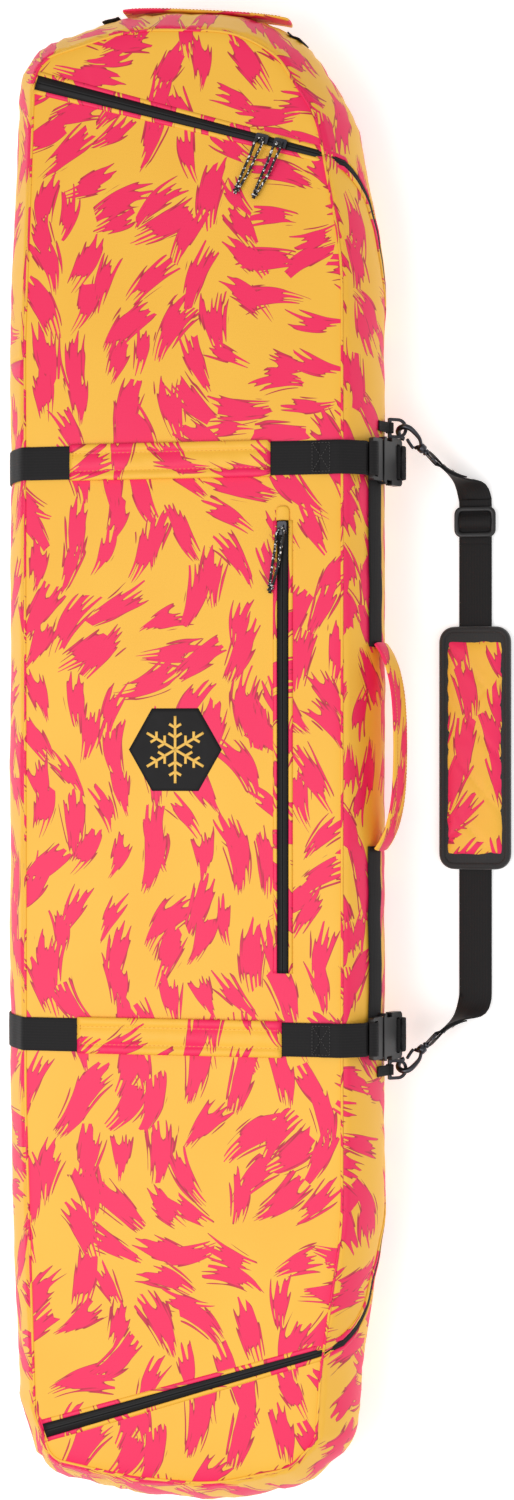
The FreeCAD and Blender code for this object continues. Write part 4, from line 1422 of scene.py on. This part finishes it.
    def sewing(self, end: str, y: float) -> None:
        """Sew the strap's end to the front with a crossed box of stitches.

        Args:
            end: top or bottom.
            y: the strap's middle.
        """
        form = self.form
        x0, x1, half = 150.0, 170.0, self.shell.web_w / 2 - 3
        corners = [(x0, y - half), (x1, y - half), (x1, y + half), (x0, y + half), (x0, y - half)]
        lines = [[form.front(*a, 4.75), form.front(*b, 4.75)] for a, b in zip(corners, corners[1:])]
        for a, b in ((corners[0], corners[2]), (corners[1], corners[3])):
            lines.append([form.front(*a, 4.75), form.front(*b, 4.75)])
        self.dress(Maker.stitches(f"strap_box_stitch_{end}", lines, 3.2, 0.9, DARK_THREAD))

    def sleeve(self, end: str, y: float, x0: float, x1: float) -> None:
        """Build a padded printed sleeve over a strap, quilted along its length.

        Args:
            end: top or bottom.
            y: the strap's middle.
            x0: where the sleeve begins.
            x1: where it ends.
        """
        form = self.form
        count = 46
        track = [form.front(x0 + (x1 - x0) * k / count, y, 2.5) for k in range(count + 1)]
        half = 20.5
        seams = (-10.0, 10.0)

        def section(share: float) -> Profile:
            """Return the sleeve's section, plumper away from its ends.

            Args:
                share: the share of the way along.

            Returns:
                The closed section.
            """
            run = (x1 - x0) * share
            close = min(1.0, min(run, x1 - x0 - run) / 7 + 0.45)
            ring = [(-half, -1.6), (half, -1.6)]
            for k in range(24, -1, -1):
                a = -half + 2 * half * k / 24
                if abs(a) < seams[1]:
                    lobe = math.sin(math.pi * (a + 10) / 20)
                else:
                    lobe = math.sin(math.pi * (abs(a) - 10) / (half - 10) * 0.93)
                wrinkle = noise.noise(Vector((run / 9, a / 14, 3.3 + y))) * 0.8
                ring.append((a, (0.9 + (3.0 + wrinkle) * max(0.0, lobe) ** 0.55) * close))
            return ring

        self.dress(Maker.sweep(f"strap_sleeve_cover_{end}", track, section, PRINT, start=(x0, y + 500)),
                   f"strap_sleeve_{end}")
        lines = [beside(track[1:-1], a, 1.35) for a in seams]
        for x in (x0 + 4, x1 - 4):
            lines.append([form.front(x, y + a, 2.5 + 2.6 * max(0.0, 1 - (abs(a) / half) ** 4)) for a in
                          (-18, -12, -6, 0, 6, 12, 18)])
        self.dress(Maker.stitches(f"sleeve_stitches_{end}", lines, 3.6, 0.8, THREAD))

    def side_webbing(self) -> None:
        """Build the webbing along the side between the handle and the buckles, and the ring tabs."""
        form = self.form
        spans = (("upper", 122.0, 352.0), ("lower", -103.0, -338.0))
        for k, (name, a, b) in enumerate(spans):
            ys = [a + (b - a) * t / 30 for t in range(31)]
            track = [form.side(form.find(y, True), 107.0, 0.3) for y in ys]
            section = rounded_profile(25, 2.0, 0.0, cup=1.0, count=8)
            obj = Maker.sweep(f"side_webbing_{name}", track, section, WEBBING)
            self.dress(obj, *(("side_webbing",) if k == 0 else ()))
        for k, (name, y) in enumerate((("top", 373.0), ("bottom", -359.0))):
            high = [form.side(form.find(y, True), z, 0.9) for z in (100, 96)]
            loop = []
            for deg in range(100, -215, -21):
                way = Vector((math.cos(math.radians(deg)), 0, math.sin(math.radians(deg))))
                loop.append(Spot(Vector((226, y, 76)) + way * 3.2, way))
            tab = Maker.sweep(f"ring_tab_{name}", smooth_spots([Spot(p.at, p.out) for p in high] + loop, 1.6),
                              rounded_profile(12, 1.5), WEBBING)
            self.dress(tab, *(("d_ring_tabs",) if k == 0 else ()))

    def build(self) -> None:
        """Build every piece of the lid."""
        self.front_panel()
        self.side_panel()
        tape, fold = self.shell.zip_half(-1, "lid")
        self.dress(tape, "main_zipper_tape_lid")
        self.dress(fold)
        self.pocket()
        self.emblem()
        self.cinch_straps()
        self.side_webbing()
        LOG.info("lid built: panels, pocket, emblem, straps and sleeves")


# ---- handles, shoulder strap and pulls ---------------------------------------------------
@dataclass
class Handles:
    """The padded side haul handle and the grab handle at the top."""

    shares: tuple[Pair, ...] = ((0, 0), (0.05, 0.34), (0.14, 0.68), (0.28, 0.92), (0.5, 1.0), (0.72, 0.92),
                                (0.86, 0.68), (0.95, 0.34), (1, 0))
    width: float = 36.0

    def arch(self, name: str, node: str, corner: Vector, along: Vector, up: Vector, out: Vector,
             rise: float, thick: float) -> None:
        """Build one bowed handle.

        Args:
            name: the piece's name, and its stitches' after it.
            node: its CAD node, which is also its body.
            corner: its lower corner at its start, in mm.
            along: from one end to the other, its full length.
            up: the direction of its width.
            out: away from the bag.
            rise: how far it bows out in mm.
            thick: its thickness in mm.
        """
        middle = corner + up * (self.width / 2)
        spots = [Spot(middle + along * a + out * (rise * b + 0.4), out) for a, b in self.shares]
        track = smooth_spots(spots, 4.0)
        section = rounded_profile(self.width, thick - 1.0, 1.4, count=8)
        band = Maker.sweep(name, track, section, PRINT, swap=True, start=(0.0, 300.0), subdivide=1)
        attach(band, node)
        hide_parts(node)
        lines = [beside(track[2:-2], a, thick - 0.35) for a in (-13.5, 13.5)]
        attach(Maker.stitches(f"{name}_stitches", lines, 3.4, 0.8, THREAD), node)

    def build(self) -> None:
        """Build both handles."""
        down, out = tilted(14)
        self.arch("haul_handle_band", "side_handle", Vector((221.5, -106, 84)), Vector((0, 231, 0)),
                  -down, out, 24, 5)
        left, right = Vector((-84, 858.5, 62)), Vector((112, 838.0, 62))
        along = left - right
        self.arch("grab_handle_band", "top_handle", right, along, UP,
                  along.normalized().cross(UP), 4.5, 4)
        LOG.info("handles built")


@dataclass
class ShoulderStrap:
    """The shoulder strap's webbing and pad, lying beside the bag."""

    x: float = 316.0
    lie: float = 4.4
    web_w: float = 38.0
    pad_y: Pair = (-133.0, 149.0)
    pad_w: float = 84.0
    bail: Pair = (226.0, 76.0)
    rings: Pair = (373.0, -359.0)
    along: tuple[float, float, float] = (0.622, -0.622, -0.475)
    glide_y: float = 270.0
    glide_z: float = 9.4
    glide_half: Pair = (15.2, 9.0)

    def eye(self, top: bool) -> tuple[Vector, Vector, Vector]:
        """Return a hook's swivel eye: its start, its direction and its long side.

        Args:
            top: whether it is the upper hook.

        Returns:
            The start in mm and the two directions.
        """
        along = Vector(self.along).normalized()
        dip = math.radians(35)
        y = self.rings[0] - 4.5 if top else self.rings[1] + 4.5
        if not top:
            along.y = -along.y
        bow = 17.0 + 3.6
        x, z = self.bail
        corner = Vector((x + bow * math.cos(dip), y, z - bow * math.sin(dip))) - along * 6.0
        flat = Vector((-along.y, along.x, 0)).normalized()
        return corner, along, along.cross(flat)

    def fall(self, top: bool) -> list[Spot]:
        """Return the webbing's line from a hook's eye down to the ground, turning evenly as it falls.

        Args:
            top: whether it is the upper hook.

        Returns:
            Spots along the line.
        """
        corner, along, upright = self.eye(top)
        level, sign = (290.0, 1) if top else (-276.0, -1)
        start, end = corner + along * 57, Vector((self.x, level, self.lie))
        knots = (start, start + along * 28, end + Vector((0, sign * 30, 0)), end)
        side = along.cross(upright) * sign
        spots = [Spot(corner + along * a + side * b, side)
                 for a, b in ((46.9, 0.0), (48.6, 2.2), (52.4, 2.4))]
        for k in range(13):
            t = k / 12
            weights, later = self.weights(t), self.weights(t + 0.01)
            at = sum((knot * weight for knot, weight in zip(knots, weights)), Vector())
            turned = t * t * (3 - 2 * t)
            across = upright.lerp(Vector((1, 0, 0)), turned)
            before = sum((knot * (w2 - w1) for knot, w1, w2 in zip(knots, weights, later)), Vector())
            out = before.cross(across).normalized() * sign
            spots.append(Spot(at, out))
        return spots

    @staticmethod
    def weights(t: float) -> tuple[float, float, float, float]:
        """Return the weights of a cubic curve's four knots at t."""
        return (1 - t) ** 3, 3 * t * (1 - t) ** 2, 3 * t * t * (1 - t), t ** 3

    def webbing(self) -> None:
        """Build the long webbing from one hook's eye to the other's, and its sewn ends."""
        high, low = self.fall(True), self.fall(False)
        level = [Spot(Vector((self.x, y, self.lie)), UP) for y in (240, 180, 60, -60, -180, -240)]
        track = beside(smooth_spots(high + level + low[::-1], 4.0), 0.0, -1.0)
        section = rounded_profile(self.web_w, 2.0, 0.15, count=8)
        strap = Maker.sweep("shoulder_strap_webbing", track, section, WEBBING)
        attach(strap, "shoulder_strap")
        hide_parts("shoulder_webbing_top", "shoulder_webbing", "shoulder_webbing_bottom")
        for name, line in (("top", high), ("bottom", low)):
            corner, along, upright = self.eye(name == "top")
            side = line[0].out
            fold = [Spot(corner + along * a - side * b, -side)
                    for a, b in ((47.0, 0.2), (48.6, 2.2), (52.4, 2.6))]
            fold += [Spot(p.at - p.out * 1.3, -p.out) for p in line[4:9]]
            end = Maker.sweep(f"webbing_fold_{name}", smooth_spots(fold, 3.0), section, WEBBING)
            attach(end, "shoulder_strap")
            seam = [[Spot(spot.at + upright * w - spot.out * 3.0, -spot.out) for w in (-14, 0, 14)]
                    for spot in (line[5], line[7])]
            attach(Maker.stitches(f"webbing_stitches_{name}", seam, 3.2, 0.9, DARK_THREAD), "shoulder_strap")

    def glide(self) -> None:
        """Build the moulded tri-glide with the webbing rolled over its middle bar."""
        x, y = self.x, self.glide_y
        wide, high = self.glide_half
        dense = rounded_loop((x - wide, x + wide, y - high, y + high), 6.0, self.glide_z, 5.0)
        ring = [(3.1 * math.copysign(abs(math.cos(t)) ** 0.7, math.cos(t)),
                 2.3 * math.copysign(abs(math.sin(t)) ** 0.7, math.sin(t)))
                for t in (2 * math.pi * k / 12 + 0.01 for k in range(12))]
        frame = Maker.sweep("tri_glide_frame", dense, ring, ACETAL, loop=True, subdivide=1)
        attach(frame, "tri_glide")
        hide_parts("tri_glide")
        roll = [(26, 6.4), (18, 6.4), (12.5, 6.5), (8.5, 8.4), (5, 11.6), (0, 13.2), (-5, 11.6), (-8.5, 8.4),
                (-12.5, 6.5), (-18, 6.4), (-25, 6.4)]
        spots = []
        for k, (a, b) in enumerate(roll):
            before, after = roll[max(k - 1, 0)], roll[min(k + 1, len(roll) - 1)]
            out = Vector((0, after[1] - before[1], before[0] - after[0])).normalized()
            spots.append(Spot(Vector((x, y + a, b)), out))
        loop = Maker.sweep("tri_glide_roll", beside(smooth_spots(spots, 1.6), 0.0, -0.8),
                           rounded_profile(self.web_w - 1, 1.8, 0.15, count=8), WEBBING)
        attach(loop, "tri_glide")

    def pad(self) -> None:
        """Build the sliding pad: printed quilted face, bound edge and backing."""
        x0, x1 = self.x - self.pad_w / 2, self.x + self.pad_w / 2
        y0, y1 = self.pad_y
        rim, end_rim = 9.5, 17.0

        def face(x: float, y: float) -> float:
            """Return the height of the quilted face.

            Args:
                x: across the pad.
                y: along it.

            Returns:
                The height in mm.
            """
            near = min(x - x0 - rim, x1 - rim - x, y - y0 - end_rim, y1 - end_rim - y)
            swell = 1 - math.exp(-max(0.0, near) / 7)
            aside = x * 0.9 - self.x * 0.9
            line = min(abs((aside + y * 0.75) % 46 - 23), abs((y * 0.75 - aside) % 92 - 46))
            return 11.4 + 4.4 * swell - 2.0 * math.exp(-(line / 2.6) ** 2) * swell + 0.5 * noise.noise(
                Vector((x / 16, y / 16, 1)))

        def border_top(x: float, y: float) -> float:
            """Return the height of the black border round the face."""
            return 12.2 + 0.5 * noise.noise(Vector((x / 9, y / 9, 3)))

        insert = Maker.pillow("pad_face", (x0 + rim, x1 - rim, y0 + end_rim, y1 - end_rim), 3, face,
                              lambda x, y: 6.5, PRINT, 3.4)
        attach(insert, "shoulder_pad")
        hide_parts("pad_insert", "pad_foam")
        border = Maker.pillow("pad_border", (x0 + 3, x1 - 3, y0 + 3, y1 - 3), 12, border_top,
                              lambda x, y: 6.6, BINDING, 4.0)
        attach(border, "shoulder_pad")
        backing = Maker.pillow("pad_back", (x0 + 5, x1 - 5, y0 + 5, y1 - 5), 10, lambda x, y: 2.8,
                               lambda x, y: 0.8, LINING, 8.0)
        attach(backing, "shoulder_pad")
        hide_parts("pad_backing")
        corner, inner = 13.0, 4.4
        a0, a1, b0, b1 = x0 + inner, x1 - inner, y0 + inner, y1 - inner
        dense = rounded_loop((a0 + corner, a1 - corner, b0 + corner, b1 - corner), corner, 0.9, 6.0)
        ring = [(-4.2, 1.5), (-4.4, 10.5), (-3.0, 12.6), (0, 13.6), (2.8, 12.6), (4.3, 9.5), (4.4, 4.0),
                (3.0, 0.8), (0, 0)]
        binding = Maker.sweep("pad_edge_binding", dense, ring, BINDING, loop=True, subdivide=1)
        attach(binding, "shoulder_pad")
        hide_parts("pad_binding")

    def build(self) -> None:
        """Build the strap's soft pieces."""
        self.webbing()
        self.glide()
        self.pad()
        LOG.info("shoulder strap built")


@dataclass
class Pull:
    """A doubled pull cord through one slider's bail, knotted at its end."""

    name: str
    body: str
    node: str
    at: Pair
    toward: Pair
    length: float
    gauge: float = 3.2
    depth: float = 150.0
    strand_share: float = 0.755      # each strand's own length as a share of the pull's
    rests: tuple[tuple[float, float, float], ...] = ((0.13, 4.2, 5.4), (0.30, 3.2, 2.6), (0.50, 3.5, 0.4),
                                                     (0.70, 2.8, 0.0), (0.88, 1.9, 0.6))

    def build(self) -> None:
        """Build both strands as cords, the loop through the bail, and the knot."""
        ahead = Vector((*self.toward, 0)).normalized()
        across = Vector((-ahead.y, ahead.x, 0))
        lie = self.depth + 1.4 + self.gauge / 2 + 0.5
        base = Vector((*self.at, lie))
        for side, letter in ((-1, "a"), (1, "b")):
            route = [base + ahead * (self.length * s) + across * (side * w) + Vector((0, 0, z))
                     for s, w, z in self.rests]
            curve = bpy.data.curves.new(f"{self.name}_cord_{letter}", "CURVE")
            curve.dimensions, curve.bevel_depth, curve.bevel_resolution = "3D", self.gauge / 2 * MM, 3
            spline = curve.splines.new("NURBS")
            spline.points.add(len(route) - 1)
            for point, spot in zip(spline.points, route):
                point.co = (*(spot * MM), 1.0)
            spline.order_u = 3
            spline.use_endpoint_u = True
            curve.materials.append(CORD.material())
            strand = bpy.data.objects.new(f"{self.name}_cord_{letter}", curve)
            bpy.context.collection.objects.link(strand)
            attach(strand, self.body)
            if side < 0:
                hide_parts(self.node)
        bow = []
        for k in range(13):
            turn = math.pi * k / 12
            bow.append(Spot(base + across * (4.2 * math.cos(turn)) + Vector((0, 0, 5.4))
                            + ahead * (self.length * 0.13 * (1 - math.sin(turn)) + 0.2), UP))
        loop = Maker.sweep(f"{self.name}_loop", bow, round_profile(self.gauge / 2), CORD)
        knot = []
        for k in range(25):
            turn = math.pi * 3 * k / 24
            along = ahead * (self.length * (0.88 + 0.10 * k / 24))
            knot.append(Spot(base + along + across * (2.3 * math.cos(turn))
                             + Vector((0, 0, 1.0 + 1.9 * math.sin(turn))), UP))
        twist = Maker.sweep(f"{self.name}_knot", knot, round_profile(self.gauge / 2), CORD)
        ends = [Spot(base + ahead * (self.length * s) + Vector((0, 0, 0.4)), UP) for s in
                (0.90, 0.94, 0.99, 1.03)]
        tip = Maker.sweep(f"{self.name}_tip", ends, round_profile(self.gauge * 0.62), CORD)
        for piece in (loop, twist, tip):
            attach(piece, self.body)


@dataclass
class SnapHook:
    """A cast hook on a D-ring, with its gate, its barrel and the swivel eye that holds the webbing."""

    end: str
    corner: Vector
    along: Vector
    across: Vector
    through: Vector
    gauge: float = 3.3

    def place(self, a: float, b: float, c: float = 0.0) -> Vector:
        """Return a point from its distances along, across and through the hook, in mm."""
        return self.corner + self.along * a + self.across * b + self.through * c

    def part(self, name: str, marks: Sequence[Pair], section: Callable[[float], Profile] | Profile,
             body: str, *nodes: str) -> None:
        """Build one cast piece through marks in the hook's own plane.

        Args:
            name: the piece's name, before its end.
            marks: distances along and across the hook.
            section: its section.
            body: the body it rides on.
            nodes: the nodes it stands for.
        """
        spots = smooth_spots([Spot(self.place(a, b), self.through) for a, b in marks], 1.6)
        piece = Maker.sweep(f"{name}_{self.end}", spots, section, METAL, subdivide=1)
        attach(piece, body)
        if nodes:
            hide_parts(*nodes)

    def turned(self, name: str, marks: Sequence[Pair], body: str) -> None:
        """Build one turned piece on the hook's own line, from distances along it and radii.

        Args:
            name: the piece's name, before its end.
            marks: distances along the hook and radii.
            body: the body it rides on.
        """
        rings = [Spot(self.place(a, 0), self.through) for a, _ in marks]
        last = len(marks) - 1
        piece = Maker.sweep(f"{name}_{self.end}", rings,
                            lambda t: round_profile(marks[round(t * last)][1], count=12), METAL)
        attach(piece, body)

    def build(self, lift: Vector) -> None:
        """Build the hook.

        Args:
            lift: the upright direction of the eye's long side.
        """
        side = 1 if self.end == "top" else -1
        hook = [(12.2, -8.0), (9, -9.6), (4, -9.2), (-0.8, -6), (-2.8, 0), (-0.8, 6), (4, 9.2), (11, 9.6),
                (20, 8.4), (26, 5.2), (30.5, 0.8)]
        self.part("hook_cast", [(a, b * side) for a, b in hook],
                  lambda t: round_profile(self.gauge * (0.7 + 0.38 * math.sin(math.pi * min(1, 0.14 + t)))),
                  "shoulder_strap", f"hook_{self.end}")
        shoulder = [(31, 1.0), (28.8, -2.4), (28.6, -5.4), (27.6, -7.4)]
        self.part("hook_shoulder", [(a, b * side) for a, b in shoulder], round_profile(2.5), "shoulder_strap")
        gate = [(27.6, -8.4), (25.2, -8.6), (20, -7.4), (15.4, -6.0), (13.2, -5.2)]
        self.part("hook_lever", [(a, b * side) for a, b in gate], round_profile(2.2), f"hook_gate_{self.end}",
                  f"hook_gate_{self.end}")
        barrel = [(28.6, 2.4), (29.2, 4.6), (30.4, 5.5), (35.4, 5.5), (36.6, 4.6), (37.0, 2.9), (38.2, 2.7),
                  (38.8, 4.2), (40.6, 4.2), (42.2, 2.6)]
        self.turned("hook_barrel", barrel, "shoulder_strap")
        flat = self.along.cross(lift)
        centre = [(43.2, -17.5), (43.2, 17.5), (50.6, 17.5), (50.6, -17.5)]
        track = []
        for k, (a, w) in enumerate(centre):
            a2, w2 = centre[(k + 1) % 4]
            here, after = (self.corner + self.along * u + lift * (v * 1.16) for u, v in ((a, w), (a2, w2)))
            track += [Spot(here.lerp(after, t), flat) for t in (0.06, 0.25, 0.5, 0.75, 0.94)]
        eye = Maker.sweep(f"hook_eyelet_{self.end}", track, round_profile(1.8), METAL, loop=True, subdivide=1)
        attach(eye, "shoulder_strap")
        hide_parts(f"hook_eye_{self.end}")


@dataclass
class Hardware:
    """The moulded and cast pieces, whose CAD shapes stay and get softened edges."""

    plastic: tuple[str, ...] = ("buckle_female_top", "buckle_female_bottom", "buckle_male_top",
                                "buckle_male_bottom")
    metal: tuple[str, ...] = ("d_ring_top", "d_ring_bottom", "main_slider_left", "main_slider_right",
                              "pocket_slider")
    hook_roll: float = 130.0

    def build(self, nodes: dict[str, bpy.types.Object]) -> None:
        """Dress every hard CAD node.

        Args:
            nodes: the frame's node objects by name.
        """
        for names, finish, edge in ((self.plastic, ACETAL, 0.8), (self.metal, METAL, 0.9)):
            for name in names:
                obj = nodes[name]
                for slot in obj.material_slots:
                    slot.material = finish.material()
                if not obj.material_slots:
                    obj.data.materials.append(finish.material())
                weld = obj.modifiers.new("weld", "WELD")
                weld.merge_threshold = 1e-5
                bevel = obj.modifiers.new("edges", "BEVEL")
                bevel.width, bevel.segments, bevel.limit_method = edge * MM, 3, "ANGLE"
                bevel.angle_limit = math.radians(28)
                bevel.harden_normals = False
        self.hooks()
        LOG.info("hardware dressed")

    def hooks(self) -> None:
        """Build both snap hooks in the directions they hang in."""
        strap = ShoulderStrap()
        for end, flip in (("top", 1), ("bottom", -1)):
            corner, along, lift = strap.eye(end == "top")
            way = Vector(strap.along).normalized()
            level = Vector((-way.y, way.x, 0)).normalized()
            roll = math.radians(self.hook_roll)
            through = level * math.cos(roll) + way.cross(level) * math.sin(roll)
            across = through.cross(way)
            if flip < 0:
                across, through = (Vector((d.x, -d.y, d.z)) for d in (-across, through))
            SnapHook(end, corner, along, across, through).build(lift)


# ---- camera, light and floor -------------------------------------------------------------
@dataclass
class Studio:
    """The camera's place, a pale floor and soft light."""

    target: tuple[float, float, float] = (0.0563, 0.0056, 0.0)
    toward: tuple[float, float, float] = (0.198, 0.0, 0.98)
    distance: float = 3.06
    lens: float = 41.4
    sensor: float = 24.0
    glow: float = 0.4

    def camera(self) -> None:
        """Place the camera above the bag, leaning a little to its right."""
        data = bpy.data.cameras.new("studio_camera")
        data.sensor_fit, data.sensor_height, data.lens = "VERTICAL", self.sensor, self.lens
        obj = bpy.data.objects.new("studio_camera", data)
        back = Vector(self.toward).normalized()
        obj.location = Vector(self.target) + back * self.distance
        up = Vector((0, 1, 0))
        right = up.cross(back).normalized()
        up = back.cross(right)
        obj.rotation_mode = "QUATERNION"
        obj.rotation_quaternion = Matrix((right, up, back)).transposed().to_quaternion()
        bpy.context.collection.objects.link(obj)
        bpy.context.scene.camera = obj

    def floor(self) -> None:
        """Lay a pale floor under the bag, lit a little from below like a light table."""
        size = 6.0
        mesh = bpy.data.meshes.new("studio_floor")
        corners = [(-size, -size, 0), (size, -size, 0), (size, size, 0), (-size, size, 0)]
        mesh.from_pydata(corners, [], [(0, 1, 2, 3)])
        obj = bpy.data.objects.new("studio_floor", mesh)
        paint = bpy.data.materials.new("matt_white_floor")
        paint.use_nodes = True
        shader = paint.node_tree.nodes["Principled BSDF"]
        shader.inputs["Base Color"].default_value = linear("#FFFFFF")
        shader.inputs["Roughness"].default_value = 0.9
        shader.inputs["Emission Color"].default_value = linear("#FFFFFF")
        shader.inputs["Emission Strength"].default_value = self.glow
        mesh.materials.append(paint)
        bpy.context.collection.objects.link(obj)

    def light(self) -> None:
        """Hang soft lamps above, and fill the rest of the room with even white."""
        lamps = (("key", (-1.2, -0.5, 2.9), 2.2, 48.0), ("fill", (1.5, -0.9, 2.6), 2.4, 20.0))
        for name, place, size, power in lamps:
            data = bpy.data.lights.new(f"soft_{name}", "AREA")
            data.energy, data.size = power, size
            obj = bpy.data.objects.new(f"soft_{name}", data)
            obj.location = place
            obj.rotation_euler = (Vector((0, 0, 0)) - Vector(place)).to_track_quat("-Z", "Y").to_euler()
            bpy.context.collection.objects.link(obj)
        world = bpy.data.worlds.new("studio_room")
        world.use_nodes = True
        world.node_tree.nodes["Background"].inputs["Color"].default_value = (1, 1, 1, 1)
        world.node_tree.nodes["Background"].inputs["Strength"].default_value = 0.5
        bpy.context.scene.world = world

    def build(self) -> None:
        """Set up the studio."""
        self.camera()
        self.floor()
        self.light()
        bpy.context.scene.view_settings.view_transform = "Standard"
        LOG.info("studio set up")


def main() -> None:
    """Build the bag round its frame."""
    logging.basicConfig(level=logging.INFO, format="%(name)s: %(message)s")
    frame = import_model()
    Studio().build()
    pulls = (Pull("left_pull", "main_pull_left", "main_pull_left", (93, 0), (-0.46, -0.89), 66),
             Pull("right_pull", "main_pull_right", "main_pull_right", (114, 0), (-0.46, -0.89), 66),
             Pull("pocket_pull", "pocket_pull", "pocket_pull", (116, 254), (-0.19, -0.98), 72))
    form = Form()
    for pull in pulls:
        if pull.body != "pocket_pull":
            pull.at = (pull.at[0], form.diagonal(True, pull.at[0]))
        pull.build()
    LOG.info("pull cords built")
    shell = Shell(form)
    shell.build()
    Lid(form, shell).build()
    Handles().build()
    ShoulderStrap().build()
    Hardware().build(frame["nodes"])


if __name__ == "__main__":
    main()
